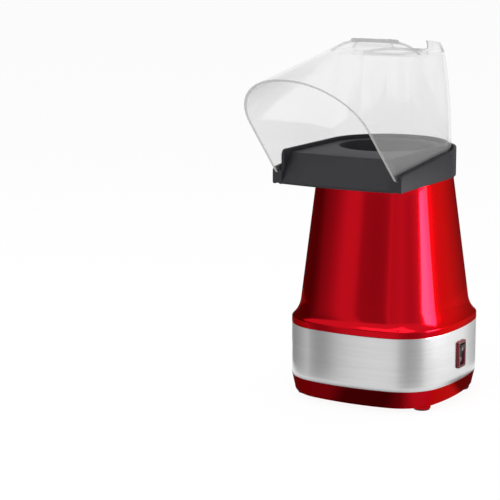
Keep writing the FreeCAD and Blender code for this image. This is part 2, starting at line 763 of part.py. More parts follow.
def popping_chamber():
    cup = cylinder(CHAMBER_R, CHAMBER_Z, CHAMBER_TOP)
    cup = cup.fuse(cylinder(CHAMBER_FLANGE_R, GASKET_TOP, CHAMBER_TOP))
    cup = cup.cut(cylinder(CHAMBER_BORE_R, CHAMBER_Z + CHAMBER_T, CHAMBER_TOP + 1))
    low = CHAMBER_Z + LOUVRE_LIFT
    for index in range(LOUVRE_COUNT):
        louvre = block(CHAMBER_BORE_R - 1, CHAMBER_R + 1, -LOUVRE_W / 2, LOUVRE_W / 2, low, low + LOUVRE_H)
        louvre.rotate(V(0, 0, 0), V(0, 0, 1), 360 * index / LOUVRE_COUNT)
        cup = cup.cut(louvre)
    for x, y in chamber_screw_places():
        cup = cup.cut(cylinder(CHAMBER_SCREW_R + SCREW_HOLE_GAP, GASKET_TOP - 1, CHAMBER_TOP + 1, x, y))
    return cup


def chamber_gasket():
    ring = tube(CHAMBER_HOLE_R, CHAMBER_FLANGE_R, BODY_TOP, GASKET_TOP)
    for x, y in chamber_screw_places():
        ring = ring.cut(cylinder(CHAMBER_SCREW_R + SCREW_HOLE_GAP, BODY_TOP - 1, GASKET_TOP + 1, x, y))
    return ring


def chamber_screws():
    return [screw(x, y, CHAMBER_TOP, CHAMBER_SCREW_L, False, CHAMBER_SCREW_R, CHAMBER_SCREW_HEAD_R)
            for x, y in chamber_screw_places()]


def thermostat():
    seat = -DUCT_R - ASSEMBLY_GAP
    z = DUCT_Z + THERMOSTAT_LIFT
    return Part.makeCylinder(THERMOSTAT_R, THERMOSTAT_L, V(seat, 0, z), V(-1, 0, 0))


def thermal_fuse():
    z = DUCT_Z + FUSE_LIFT
    return cylinder(FUSE_R, z, z + FUSE_L, 0, DUCT_R + ASSEMBLY_GAP + FUSE_R)


# Power switch
def switch_housing():
    back = BEZEL_X - SWITCH_DEPTH
    front = BEZEL_X + BEZEL_T
    bezel = block(BEZEL_X, front, -BEZEL_W / 2, BEZEL_W / 2, SWITCH_Z - BEZEL_H / 2, SWITCH_Z + BEZEL_H / 2)
    upright = [edge for edge in bezel.Edges if edge.BoundBox.XLength > BEZEL_T / 2]
    bezel = bezel.makeFillet(BEZEL_T, upright)
    body = block(back, front, -SWITCH_W / 2, SWITCH_W / 2, SWITCH_Z - SWITCH_H / 2, SWITCH_Z + SWITCH_H / 2)
    well_w = ROCKER_W / 2 + ROCKER_SIDE_GAP
    well_h = ROCKER_H / 2 + ROCKER_END_GAP
    well_x = PIVOT_X - ROCKER_ROOT - WELL_FLOOR_GAP
    well = block(well_x, front + 1, -well_w, well_w, SWITCH_Z - well_h, SWITCH_Z + well_h)
    hole_half = ROCKER_W / 2 + PIVOT_HOLE_L
    hole_start = V(PIVOT_X, -hole_half, SWITCH_Z)
    holes = Part.makeCylinder(PIVOT_R + RUNNING_GAP, 2 * hole_half, hole_start, V(0, 1, 0))
    return fused([bezel, body]).cut(well).cut(holes)


def switch_rocker():
    """Dished rocker on two stub pivots, tilted to its off position."""
    end = ROCKER_H / 2
    root = ROCKER_ROOT_HALF
    low = ROCKER_FACE - ROCKER_EDGE
    profile = [(end, ROCKER_FACE), (end, low), (root, -ROCKER_ROOT), (-root, -ROCKER_ROOT),
               (-end, low), (-end, ROCKER_FACE), (0, ROCKER_FACE - ROCKER_DISH)]
    corners = [V(PIVOT_X + out, -ROCKER_W / 2, SWITCH_Z + up) for up, out in profile]
    face = Part.Face(Part.makePolygon(corners + corners[:1]))
    rocker = face.extrude(V(0, ROCKER_W, 0))
    reach = ROCKER_W / 2 + PIVOT_L
    pivot = Part.makeCylinder(PIVOT_R, 2 * reach, V(PIVOT_X, -reach, SWITCH_Z), V(0, 1, 0))
    rocker = fused([rocker, pivot])
    rocker.rotate(V(PIVOT_X, 0, SWITCH_Z), V(0, 1, 0), ROCKER_REST_TILT)
    return rocker


def switch_terminals():
    root = BEZEL_X - SWITCH_DEPTH
    half_w = BLADE_W / 2
    half_t = BLADE_STOCK_T / 2
    heights = (SWITCH_Z - BLADE_SPREAD / 2, SWITCH_Z + BLADE_SPREAD / 2)
    return [block(root - BLADE_OUT, root, -half_w, half_w, z - half_t, z + half_t) for z in heights]


def cord_bushing():
    wall_in = BASE_HALF - SKIRT_BORE_INSET
    flange_y = BASE_HALF - SKIRT_TOP_INSET + ASSEMBLY_GAP
    collar_y = wall_in - ASSEMBLY_GAP - GLAND_COLLAR_T
    out = V(0, 1, 0)
    body = Part.makeCylinder(GLAND_R, flange_y + GLAND_FLANGE_T - collar_y, V(0, collar_y, GLAND_Z), out)
    collar = Part.makeCylinder(GLAND_COLLAR_R, GLAND_COLLAR_T, V(0, collar_y, GLAND_Z), out)
    flange = Part.makeCylinder(GLAND_FLANGE_R, GLAND_FLANGE_T, V(0, flange_y, GLAND_Z), out)
    slot = block(-LEAD_SLOT_W / 2, LEAD_SLOT_W / 2, collar_y - 1, flange_y + GLAND_FLANGE_T + 1,
                 GLAND_Z - LEAD_SLOT_H / 2, GLAND_Z + LEAD_SLOT_H / 2)
    return fused([body, collar, flange]).cut(slot)


# Chute tray
def d_outline(half, front_y, bow, z):
    """Half circle at the back, straight sides, and a front edge that bows outward."""
    back = arc(V(half, 0, z), V(0, half, z), V(-half, 0, z))
    left = Part.makeLine(V(-half, 0, z), V(-half, front_y, z))
    if bow:
        front = arc(V(-half, front_y, z), V(0, front_y - bow, z), V(half, front_y, z))
    else:
        front = Part.makeLine(V(-half, front_y, z), V(half, front_y, z))
    right = Part.makeLine(V(half, front_y, z), V(half, 0, z))
    return Part.Wire([back, left, front, right])


def d_solid(half, front_y, bow, z0, z1):
    return Part.Face(d_outline(half, front_y, bow, z0)).extrude(V(0, 0, z1 - z0))


def ramp_solid(half, setback, z0, z1):
    """Everything behind the sloping chute, whose front keeps the bow of the lip."""
    front_y = TRAY_FRONT_Y + RAMP_SETBACK + setback
    face = Part.Face(d_outline(TRAY_HALF, front_y, TRAY_FRONT_BOW, RAMP_Z))
    sloped = face.extrude(V(0, RAMP_RUN, RAMP_RISE))
    lip = d_solid(TRAY_HALF, front_y, TRAY_FRONT_BOW, z0, RAMP_Z)
    upright = d_solid(half, TRAY_FRONT_Y - TRAY_FRONT_BOW, TRAY_FRONT_BOW, z0, z1)
    return sloped.fuse(lip).common(upright)


def tray_cheeks():
    """Inner wall of the dome's channel, standing above the deck and open at the front."""
    cheeks = d_solid(CHEEK_OUT, CHEEK_FRONT_Y, 0, RAMP_Z, INNER_WALL_TOP)
    nose = [edge for edge in cheeks.Edges if abs(edge.BoundBox.YMax - CHEEK_FRONT_Y) < 1e-6
            and abs(edge.BoundBox.ZMin - INNER_WALL_TOP) < 1e-6]
    cheeks = cheeks.makeFillet(CHEEK_ROUND, nose)
    return cheeks.cut(d_solid(CHEEK_IN, -BEYOND, 0, BODY_TOP, INNER_WALL_TOP + 1))


def tray_wall():
    """Outer wall of the channel, level round the back and sloping down toward its round front corners."""
    top = BODY_TOP + OUTER_WALL_H
    front_top = BODY_TOP + OUTER_WALL_FRONT_H
    wall = d_solid(TRAY_HALF, TRAY_FRONT_Y, TRAY_FRONT_BOW, CHANNEL_Z, top)
    wall = wall.cut(d_solid(CHANNEL_OUT, -BEYOND, 0, BODY_TOP, top + 1))
    nose_y = TRAY_FRONT_Y - TRAY_WALL / 5
    slope = math.atan2(top - front_top, OUTER_SLOPE_END_Y - nose_y)
    run = OUTER_WALL_ROUND * math.tan((math.pi / 2 - slope) / 2)
    nose_end = V(0, nose_y + run * math.cos(slope), front_top + run * math.sin(slope))
    nose_start = V(0, nose_y, front_top - run)
    centre = nose_start + V(0, OUTER_WALL_ROUND, 0)
    nose_mid = centre + ((nose_start + nose_end) * 0.5 - centre).normalize() * OUTER_WALL_ROUND
    rim_end = V(0, OUTER_SLOPE_END_Y, top)
    beyond = [nose_start, V(0, -BEYOND, nose_start.z), V(0, -BEYOND, top + 1),
              V(0, OUTER_SLOPE_END_Y, top + 1), rim_end, nose_end]
    sides = [Part.makeLine(first, second) for first, second in zip(beyond, beyond[1:])]
    above = Part.Face(Part.Wire(sides + [arc(nose_end, nose_mid, nose_start)])).extrude(V(2 * BEYOND, 0, 0))
    above.translate(V(-BEYOND, 0, 0))
    return wall.cut(above)


def chute_tray():
    plinth = d_solid(TRAY_HALF, TRAY_FRONT_Y, TRAY_FRONT_BOW, BODY_TOP, CHANNEL_Z)
    rim = [edge for edge in plinth.Edges if abs(edge.BoundBox.ZMax - BODY_TOP) < 1e-6]
    plinth = plinth.makeFillet(TRAY_BOTTOM_ROUND, rim)
    chute_end = TRAY_FRONT_Y + 2 * RAMP_RUN
    plinth = plinth.cut(block(-CHEEK_OUT, CHEEK_OUT, -BEYOND, chute_end, RAMP_Z, CHANNEL_Z + 1))
    deck = ramp_solid(CHEEK_OUT, 0, RAMP_Z - RAMP_LIP_H / 2, DECK_Z)
    tray = fused([plinth, tray_wall(), deck, tray_cheeks()])

    under_front = TRAY_FRONT_Y + TRAY_WALL
    strip = d_solid(CHANNEL_OUT, under_front, TRAY_FRONT_BOW, BODY_TOP - 1, CHANNEL_Z - TRAY_WALL)
    strip = strip.cut(d_solid(CHEEK_OUT, -BEYOND, 0, BODY_TOP - 2, CHANNEL_Z))
    slope_setback = TRAY_WALL * math.hypot(RAMP_RUN, RAMP_RISE) / RAMP_RISE
    hollow = ramp_solid(CHEEK_IN, slope_setback, BODY_TOP - 1, DECK_Z - TRAY_WALL)
    tray = tray.cut(strip).cut(hollow)
    chimney_z = CHAMBER_TOP + ASSEMBLY_GAP
    tray = fused([tray, cylinder(CHAMBER_BORE_R + CHIMNEY_T, chimney_z, DECK_Z)])
    return tray.cut(cylinder(CHAMBER_BORE_R, chimney_z - 1, DECK_Z + 1))


# Dome
def dome_section(y, apex_z, side_h, side_r, corner_r, top_r, depth):
    """Upright section, moved in by depth: a leaning side that bends inward, a corner and a crowned top."""
    lean = math.radians(DOME_LEAN)
    up = V(-math.sin(lean), 0, math.cos(lean))
    inward = V(-math.cos(lean), 0, -math.sin(lean))
    foot = V(DOME_FOOT_HALF - depth / math.cos(lean), y, CHANNEL_Z)
    side_centre = V(DOME_FOOT_HALF, y, CHANNEL_Z) + up * side_h + inward * side_r
    crown_centre = V(0, y, apex_z - top_r)
    apart = crown_centre - side_centre
    distance = apart.Length
    to_crown = apart * (1 / distance)
    side_reach = side_r - corner_r
    crown_reach = top_r - corner_r
    along = (side_reach ** 2 - crown_reach ** 2 + distance ** 2) / (2 * distance)
    across = math.sqrt(side_reach ** 2 - along ** 2)
    centre = side_centre + to_crown * along + V(-to_crown.z, 0, to_crown.x) * across
    side_out = (centre - side_centre).normalize()
    crown_out = (centre - crown_centre).normalize()
    side_start = side_centre - inward * (side_r - depth)
    side_mid = side_centre + (side_out - inward).normalize() * (side_r - depth)
    side_end = side_centre + side_out * (side_r - depth)
    corner_mid = centre + (side_out + crown_out).normalize() * (corner_r - depth)
    crown_end = crown_centre + crown_out * (top_r - depth)
    return foot, side_start, side_mid, side_end, corner_mid, crown_end, V(0, y, apex_z - depth)


def mirrored(point):
    return V(-point.x, point.y, point.z)


def dome_wire(*sizes):
    *right, apex = dome_section(*sizes)
    foot, start, bend, end, corner, crown = right
    left_foot, left_start, left_bend, left_end, left_corner, left_crown = [mirrored(point) for point in right]
    return Part.Wire([
        Part.makeLine(foot, start),
        arc(start, bend, end),
        arc(end, corner, crown),
        arc(crown, apex, left_crown),
        arc(left_crown, left_corner, left_end),
        arc(left_end, left_bend, left_start),
        Part.makeLine(left_start, left_foot),
        Part.makeLine(left_foot, foot),
    ])


def back_sizes():
    return 0, CHANNEL_Z + BACK_H, BACK_SIDE_H, BACK_SIDE_R, BACK_CORNER_R, BACK_TOP_R


def dome_back(depth):
    """Half turn of the section over the axis, which closes the dome behind."""
    foot, start, bend, end, corner, crown, apex = dome_section(*back_sizes(), depth)
    crown_mid_x = crown.x / 2
    crown_r = BACK_TOP_R - depth
    crown_mid = V(crown_mid_x, 0, apex.z - crown_r + math.sqrt(crown_r ** 2 - crown_mid_x ** 2))
    base = V(0, 0, foot.z)
    profile = Part.Wire([
        Part.makeLine(base, foot),
        Part.makeLine(foot, start),
        arc(start, bend, end),
        arc(end, corner, crown),
        arc(crown, crown_mid, apex),
        Part.makeLine(apex, base),
    ])
    return Part.Face(profile).revolve(V(0, 0, 0), V(0, 0, 1), 180)


def dome_form(depth):
    slope = (RIDGE_Z - MOUTH_APEX_Z) / (SEAT_FRONT_Y + MOUTH_REACH)
    mouth = (-MOUTH_REACH - MOUTH_OVERRUN, MOUTH_APEX_Z - slope * MOUTH_OVERRUN,
             MOUTH_SIDE_H, MOUTH_SIDE_R, MOUTH_CORNER_R, MOUTH_TOP_R)
    ridge = (SEAT_FRONT_Y, RIDGE_Z, RIDGE_SIDE_H, RIDGE_SIDE_R, RIDGE_CORNER_R, RIDGE_TOP_R)
    hood = Part.makeLoft([dome_wire(*section, depth) for section in (mouth, ridge, back_sizes())], True, True)
    return hood.fuse(dome_back(depth))


def rounded_slab(x0, x1, y0, y1, z0, z1, radius):
    slab = block(x0, x1, y0, y1, z0, z1)
    upright = [edge for edge in slab.Edges if edge.BoundBox.ZLength > (z1 - z0) / 2]
    return slab.makeFillet(radius, upright)


def seat_front_wall():
    """Upright plate in front of the cup seat, with round upper corners."""
    top = SEAT_Z + SEAT_FRONT_RISE
    plate = block(-SEAT_FRONT_HALF, SEAT_FRONT_HALF, SEAT_FRONT_Y - DOME_T, SEAT_FRONT_Y, SEAT_Z, top)
    upper = [edge for edge in plate.Edges if edge.BoundBox.YLength > DOME_T / 2
             and edge.BoundBox.ZMin > top - SEAT_WALL_ROUND]
    return plate.makeFillet(SEAT_WALL_ROUND, upper)


def seat_rim_space():
    """The space in which the dome's wall rises round the back of the cup seat, rounded at its front."""
    top = SEAT_Z + SEAT_BACK_RISE
    space = block(-BEYOND, BEYOND, SEAT_BACK_START_Y, BEYOND, SEAT_Z - DOME_T, top)
    front = [edge for edge in space.Edges if edge.BoundBox.XLength > BEYOND
             and edge.BoundBox.ZMin > top - DOME_T and edge.BoundBox.YMax < SEAT_BACK_START_Y + DOME_T]
    return space.makeFillet(SEAT_BACK_ROUND, front)


def handle_notch():
    """Round-cornered slot for the handle of a cup, open at the top."""
    low = SEAT_Z + SEAT_BACK_RISE - NOTCH_DEPTH
    slot = block(-NOTCH_HALF, NOTCH_HALF, NOTCH_START_Y, BEYOND, low, low + BEYOND)
    bottom = [edge for edge in slot.Edges if abs(edge.BoundBox.ZMax - low) < 1e-6
              and edge.BoundBox.YLength > NOTCH_DEPTH]
    return slot.makeFillet(NOTCH_R, bottom)


def mouth_space():
    """All that lies in front of the slanted plane of the mouth."""
    run = MOUTH_TOE_Y + MOUTH_REACH
    rise = CHANNEL_Z - MOUTH_APEX_Z
    high_y, high_z = -MOUTH_REACH - run, MOUTH_APEX_Z - rise
    low_y, low_z = MOUTH_TOE_Y + run, CHANNEL_Z + rise
    return prism_x([(high_y, high_z), (low_y, low_z), (-BEYOND, low_z), (-BEYOND, high_z)], -BEYOND, BEYOND)


def toe_space():
    """The tip of each toe, outside a round that is tangent to the mouth and to the foot."""
    lean = math.atan2(MOUTH_REACH + MOUTH_TOE_Y, MOUTH_H)
    length = MOUTH_TOE_ROUND * math.tan((math.pi / 2 - lean) / 2)
    on_mouth = (MOUTH_TOE_Y - length * math.sin(lean), CHANNEL_Z + length * math.cos(lean))
    on_foot = (MOUTH_TOE_Y + length, CHANNEL_Z)
    tip = prism_x([(MOUTH_TOE_Y, CHANNEL_Z), on_mouth, on_foot], -BEYOND, BEYOND)
    centre = V(-BEYOND, MOUTH_TOE_Y + length, CHANNEL_Z + MOUTH_TOE_ROUND)
    return tip.cut(Part.makeCylinder(MOUTH_TOE_ROUND, 2 * BEYOND, centre, V(1, 0, 0)))


def dome():
    outer = dome_form(0)
    inner = dome_form(DOME_T)
    high = SEAT_Z + BEYOND
    above_seat = block(-BEYOND, BEYOND, SEAT_FRONT_Y, BEYOND, SEAT_Z, high).cut(seat_rim_space())
    deck_slab = block(-BEYOND, BEYOND, SEAT_FRONT_Y - DOME_T, BEYOND, SEAT_Z - DOME_T, SEAT_Z)
    step_slab = block(-BEYOND, BEYOND, SEAT_FRONT_Y - DOME_T, SEAT_FRONT_Y, SEAT_Z - DOME_T, high)
    deck = outer.common(deck_slab)
    step = outer.common(step_slab)
    shell = outer.cut(inner).cut(above_seat)
    shape = fused([shell, deck, step, seat_front_wall()])
    pour = rounded_slab(-POUR_HALF, POUR_HALF, SEAT_FRONT_Y + POUR_FRONT_GAP, POUR_BACK_Y,
                        SEAT_Z - 2 * DOME_T, high, POUR_R)
    return shape.cut(pour).cut(handle_notch()).cut(mouth_space()).cut(toe_space())


NODES = [
    upper_housing, steel_band, base_shell, foot_pads, base_screws, intake_grille, chassis_screws,
    blower_housing, motor_can, motor_end_cap, shaft_bushes, motor_magnets, motor_brushes, motor_terminals,
    rectifier_board, rectifier_diodes, motor_screws, heater_frame, heater_coil, air_duct, popping_chamber,
    chamber_gasket, chamber_screws, thermostat, thermal_fuse, switch_housing, switch_terminals, cord_bushing,
    fan_impeller, motor_shaft, motor_armature, armature_windings, commutator, switch_rocker, chute_tray, dome,
]

os.makedirs("parts", exist_ok=True)
for make in NODES:
    made = make()
    shape = Part.makeCompound(made) if isinstance(made, list) else made
    shape.exportStep("parts/" + make.__name__ + ".step")
    print(make.__name__, "solids", len(shape.Solids), "valid", shape.isValid())
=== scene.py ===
# %% [markdown]
# # A hot-air popcorn maker
# The machine's solids are already built, and come in from model.glb. This lesson dresses them for a studio
# picture: each visible moulding gets a smooth mesh, and each material is made of shader nodes. Everything is
# in metres in the solids' own frame: +Z is up, the chute faces -Y, the switch faces +X.

# %% Load the imported solids
import json
import math
import bmesh
import bpy
from mathutils import Matrix, Vector


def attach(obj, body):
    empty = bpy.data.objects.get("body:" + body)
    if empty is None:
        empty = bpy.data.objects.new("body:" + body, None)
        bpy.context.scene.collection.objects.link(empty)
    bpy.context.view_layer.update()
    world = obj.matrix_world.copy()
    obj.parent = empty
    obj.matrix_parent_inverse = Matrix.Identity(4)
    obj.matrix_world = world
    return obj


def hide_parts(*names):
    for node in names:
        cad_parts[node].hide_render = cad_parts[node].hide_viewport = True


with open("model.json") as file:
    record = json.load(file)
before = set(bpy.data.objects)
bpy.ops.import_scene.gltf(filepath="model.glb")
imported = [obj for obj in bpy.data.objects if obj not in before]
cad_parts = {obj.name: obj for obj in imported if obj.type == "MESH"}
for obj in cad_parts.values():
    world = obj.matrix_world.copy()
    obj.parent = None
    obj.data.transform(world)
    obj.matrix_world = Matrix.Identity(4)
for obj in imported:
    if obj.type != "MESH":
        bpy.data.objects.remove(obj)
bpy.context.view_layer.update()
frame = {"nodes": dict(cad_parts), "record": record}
scene = bpy.context.scene
scene.view_settings.view_transform = "Standard"

# %% [markdown]
# ## The camera
# A product picture is taken from far off with a long lens, so upright edges stay nearly parallel. The
# place, direction and angle of view are the ones that make the base, tray and hood line up with the
# picture.

# %% Camera
EYE = Vector((0.6924, -1.4110, 0.4169))
GAZE = Vector((-0.4962, 0.8483, -0.1848))
VIEW_ANGLE = 15.12
lens = bpy.data.cameras.new("studio_camera")
lens.angle = math.radians(VIEW_ANGLE)
camera = bpy.data.objects.new("studio_camera", lens)
camera.location = EYE
camera.rotation_euler = GAZE.to_track_quat("-Z", "Y").to_euler()
scene.collection.objects.link(camera)
scene.camera = camera
print("camera distance", round(EYE.length, 3))

# %% [markdown]
# ## Shader arithmetic
# A material is a graph of nodes, and graphs are slow to write by hand. This small class wraps one output
# socket, so that Python's own signs make the Math nodes: `1 - mask * 0.2` becomes two nodes. Every other
# node comes from `add`, which sets a node's settings first and then its sockets.


# %% One socket that can be used in sums
class Wire:
    """An output socket of a material, which takes part in Python arithmetic."""

    def __init__(self, tree, socket):
        self.tree = tree
        self.socket = socket

    def add(self, kind, settings=None, sockets=None, output=0):
        """A new node: first its settings, then the values or links of its sockets."""
        node = self.tree.nodes.new("ShaderNode" + kind)
        for name, value in (settings or {}).items():
            if name == "stops":
                while len(node.color_ramp.elements) < len(value):
                    node.color_ramp.elements.new(0.5)
                for element, (place, colour) in zip(node.color_ramp.elements, value):
                    element.position = place
                    element.color = colour
            else:
                setattr(node, name, value)
        for name, value in (sockets or {}).items():
            if isinstance(value, Wire):
                self.tree.links.new(value.socket, node.inputs[name])
            else:
                node.inputs[name].default_value = value
        return Wire(self.tree, node.outputs[output])

    def maths(self, operation, first, second):
        """A Math node of two values."""
        return self.add("Math", {"operation": operation}, {0: first, 1: second})

    def __add__(self, other):
        return self.maths("ADD", self, other)

    def __radd__(self, other):
        return self.maths("ADD", other, self)

    def __sub__(self, other):
        return self.maths("SUBTRACT", self, other)

    def __rsub__(self, other):
        return self.maths("SUBTRACT", other, self)

    def __mul__(self, other):
        return self.maths("MULTIPLY", self, other)

    def __rmul__(self, other):
        return self.maths("MULTIPLY", other, self)

    def __pow__(self, other):
        return self.maths("POWER", self, other)

    def __rpow__(self, other):
        return self.maths("POWER", other, self)

    def blend(self, first, second):
        """A colour between two colours, by this value."""
        return self.add("Mix", {"data_type": "RGBA"}, {0: self, 6: first, 7: second}, 2)

    def noise(self, scale, detail, squeeze=(1.0, 1.0, 1.0)):
        """Noise over this vector, `scale` cells to the metre, squeezed along an axis if asked."""
        place = self.add("VectorMath", {"operation": "MULTIPLY"}, {0: self, 1: squeeze})
        return self.add("TexNoise", None, {"Vector": place, "Scale": scale, "Detail": detail})

    def bump(self, depth, strength):
        """A normal that follows this height, `depth` metres for a height of one."""
        return self.add("Bump", None, {"Height": self, "Distance": depth, "Strength": strength})


print("wire operators ready")

# %% [markdown]
# ## One way to make a finish
# Blender's Principled shader can stand for lacquer, steel, rubber or clear plastic. What is the same all
# over a piece is set on the shader's own sockets. What changes from place to place comes from a recipe, a
# function that turns the place on the surface into colour, roughness and relief.


# %% Finish from a recipe
def finish(name, recipe, **fixed):
    """A material whose even properties are set on the shader and whose uneven ones come from a recipe."""
    made = bpy.data.materials.new(name)
    made.use_nodes = True
    tree = made.node_tree
    shader = tree.nodes["Principled BSDF"]
    for key, value in fixed.items():
        shader.inputs[key.replace("_", " ").title().replace("Ior", "IOR")].default_value = value
    place = Wire(tree, tree.nodes.new("ShaderNodeTexCoord").outputs["Object"])
    for key, value in recipe(place).items():
        tree.links.new(value.socket, shader.inputs[key])
    return made


def rgb(red, green, blue):
    """A colour with full cover."""
    return (red, green, blue, 1.0)


print("shader helpers ready")

# %% [markdown]
# ## Candy red lacquer
# The body is plastic with a metallic red base under clear lacquer. A plain red gloss would go grey at its
# edges, so the shader is a red metal whose edge tint stays red, under a thin clear coat. Fine flakes break
# up the tone, and a very shallow relief gives the faint orange peel of sprayed paint.


# %% Candy red lacquer
def candy_red(place):
    flake = place.noise(2600.0, 1.0)
    cloud = place.noise(14.0, 2.0)
    tone = flake * 0.5 + cloud * 0.5
    peel = place.noise(260.0, 1.0)
    return {
        "Base Color": tone.blend(rgb(0.5, 0.0022, 0.0084), rgb(0.64, 0.0032, 0.0116)),
        "Roughness": 0.11 + flake * 0.07,
        "Normal": peel.bump(0.00001, 0.35),
    }


red_lacquer = finish("red_lacquer", candy_red, metallic=1.0, specular_tint=rgb(0.8, 0.004, 0.06),
                     coat_weight=0.05, coat_roughness=0.06)
print("made", red_lacquer.name)

# %% [markdown]
# ## Brushed steel
# The band is brushed round the body, which leaves fine level lines. Noise squeezed along Z makes such lines
# in the colour, the roughness and the relief. Real brushed steel smears reflections across its lines, so
# the shader's anisotropy is turned a quarter to draw them out upward.


# %% Steel of the band
def brushed(place):
    grain = place.noise(60.0, 4.0, (1.0, 1.0, 60.0))
    streak = place.noise(9.0, 2.0, (1.0, 1.0, 40.0))
    tone = grain * 0.6 + streak * 0.4
    return {
        "Base Color": tone.blend(rgb(0.6, 0.6, 0.61), rgb(0.8, 0.8, 0.805)),
        "Roughness": 0.16 + grain * 0.12,
        "Normal": grain.bump(0.00001, 0.4),
    }


band_steel = finish("band_steel", brushed, metallic=1.0, anisotropic=0.4, anisotropic_rotation=0.25)
print("made", band_steel.name)

# %% [markdown]
# ## Charcoal moulding
# The tray comes from a mould with a finely sanded face, so it hardly shines. A low specular level and a
# fairly high roughness keep it dark, and a fine grain stands for the sanding.


# %% Charcoal of the tray
def moulded_grain(place):
    grain = place.noise(2200.0, 3.0)
    cloud = place.noise(30.0, 2.0)
    return {
        "Base Color": cloud.blend(rgb(0.036, 0.0361, 0.04), rgb(0.045, 0.0451, 0.0495)),
        "Roughness": 0.42 + grain * 0.16,
        "Normal": grain.bump(0.00002, 0.35),
    }


charcoal = finish("charcoal_moulding", moulded_grain, specular_ior_level=0.04)
print("made", charcoal.name)

# %% [markdown]
# ## Clear plastic
# Clear plastic is hard to see square on and shows at grazing angles. Real refraction through two thin walls
# costs many light paths and leaves noise, so this sheet is a surface that lets most light straight through.
# Its cover grows toward the outline, and a faint mirror lies over it. The cut edge has its own even grey.


# %% Clear plastic of the hood
def clear_sheet(edge_tone, body):
    """Clear plastic: thin where it is seen square on, denser and greyer at grazing angles."""
    def recipe(place):
        facing = place.add("LayerWeight", None, {"Blend": 0.5}, 1)
        haze = place.noise(18.0, 2.0)
        edge = facing ** 4.0
        return {
            "Base Color": edge.blend(rgb(0.9, 0.9, 0.91), rgb(*edge_tone)),
            "Alpha": body + haze * 0.02 + edge * 0.26,
            "Roughness": 0.05 + haze * 0.03,
        }

    return recipe


def glazed(made, gloss):
    """Lay a faint mirror over a finish, as the polished faces of clear plastic have."""
    tree = made.node_tree
    body = Wire(tree, tree.nodes["Principled BSDF"].outputs[0])
    facing = body.add("LayerWeight", None, {"Blend": 0.5}, 1)
    mirror = body.add("BsdfGlossy", None, {"Color": rgb(1.0, 1.0, 1.0), "Roughness": 0.08})
    both = body.add("MixShader", None, {0: gloss + facing ** 5.0 * 0.12, 1: body, 2: mirror})
    tree.links.new(both.socket, tree.nodes["Material Output"].inputs["Surface"])
    return made


clear_plastic = glazed(finish("clear_plastic", clear_sheet((0.4, 0.4, 0.41), 0.055), ior=1.5), 0.065)


def cut_edge(place):
    """The edge of the sheet, where light leaves it: an even grey that is nearly solid."""
    haze = place.noise(40.0, 2.0)
    return {
        "Base Color": haze.blend(rgb(0.5, 0.5, 0.49), rgb(0.6, 0.6, 0.59)),
        "Alpha": 0.72 + haze * 0.1,
        "Roughness": 0.2 + haze * 0.1,
    }


clear_edge = finish("clear_edge", cut_edge, ior=1.5)
print("made", clear_plastic.name, clear_edge.name)

# %% [markdown]
# ## The finishes that mostly hide
# Inside the machine are plated screws, copper, mica, rubber and laminate. They share one recipe: a colour
# that wanders between two tones, and a fine grain in the roughness and the relief. Only the numbers differ,
# so a table of them is shorter and easier to tune than sixteen node graphs.


# %% One recipe for the smaller pieces
def speckled(dark, light, scale, rough, grain_depth):
    """A recipe for a finish between two tones, with `scale` clouds to the metre."""
    def recipe(place):
        cloud = place.noise(scale, 3.0)
        grain = place.noise(scale * 12.0, 2.0)
        return {
            "Base Color": cloud.blend(rgb(*dark), rgb(*light)),
            "Roughness": rough + grain * 0.12,
            "Normal": grain.bump(grain_depth, 0.4),
        }

    return recipe


FINE = 0.00001
COARSE = 0.00003
small_finishes = {
    "black_plastic": (speckled((0.008, 0.008, 0.009), (0.013, 0.013, 0.014), 120.0, 0.4, FINE),
                      {"specular_ior_level": 0.25}),
    "dark_red": (speckled((0.15, 0.001, 0.008), (0.19, 0.0015, 0.011), 60.0, 0.24, FINE),
                 {"coat_weight": 0.15, "specular_ior_level": 0.3}),
    "rubber": (speckled((0.012, 0.012, 0.012), (0.024, 0.024, 0.024), 200.0, 0.62, COARSE), {}),
    "zinc_steel": (speckled((0.5, 0.5, 0.5), (0.68, 0.68, 0.67), 300.0, 0.22, FINE), {"metallic": 1.0}),
    "tin_plate": (speckled((0.42, 0.42, 0.42), (0.56, 0.56, 0.55), 90.0, 0.3, FINE), {"metallic": 1.0}),
    "cast_alloy": (speckled((0.55, 0.55, 0.56), (0.7, 0.7, 0.7), 140.0, 0.32, COARSE), {"metallic": 1.0}),
    "heat_plastic": (speckled((0.62, 0.6, 0.54), (0.72, 0.7, 0.64), 70.0, 0.45, FINE), {}),
    "mica": (speckled((0.42, 0.37, 0.25), (0.62, 0.57, 0.43), 220.0, 0.35, COARSE), {}),
    "element": (speckled((0.16, 0.14, 0.13), (0.32, 0.29, 0.26), 180.0, 0.4, FINE), {"metallic": 1.0}),
    "silicone": (speckled((0.62, 0.61, 0.57), (0.7, 0.69, 0.65), 90.0, 0.5, FINE), {}),
    "bronze": (speckled((0.4, 0.26, 0.12), (0.55, 0.38, 0.19), 400.0, 0.38, COARSE), {"metallic": 1.0}),
    "ferrite": (speckled((0.05, 0.05, 0.052), (0.09, 0.09, 0.09), 300.0, 0.55, COARSE), {}),
    "carbon": (speckled((0.015, 0.015, 0.015), (0.03, 0.03, 0.03), 400.0, 0.5, COARSE), {}),
    "copper": (speckled((0.58, 0.27, 0.15), (0.76, 0.4, 0.24), 260.0, 0.25, FINE), {"metallic": 1.0}),
    "board": (speckled((0.26, 0.18, 0.07), (0.38, 0.28, 0.12), 500.0, 0.45, FINE), {}),
    "bare_steel": (speckled((0.42, 0.42, 0.42), (0.55, 0.55, 0.55), 300.0, 0.25, FINE), {"metallic": 1.0}),
}
by_slot = {"red_shell": red_lacquer, "steel": band_steel, "charcoal": charcoal, "clear": clear_plastic}
for slot_name, (recipe, fixed) in small_finishes.items():
    by_slot[slot_name] = finish(slot_name, recipe, **fixed)
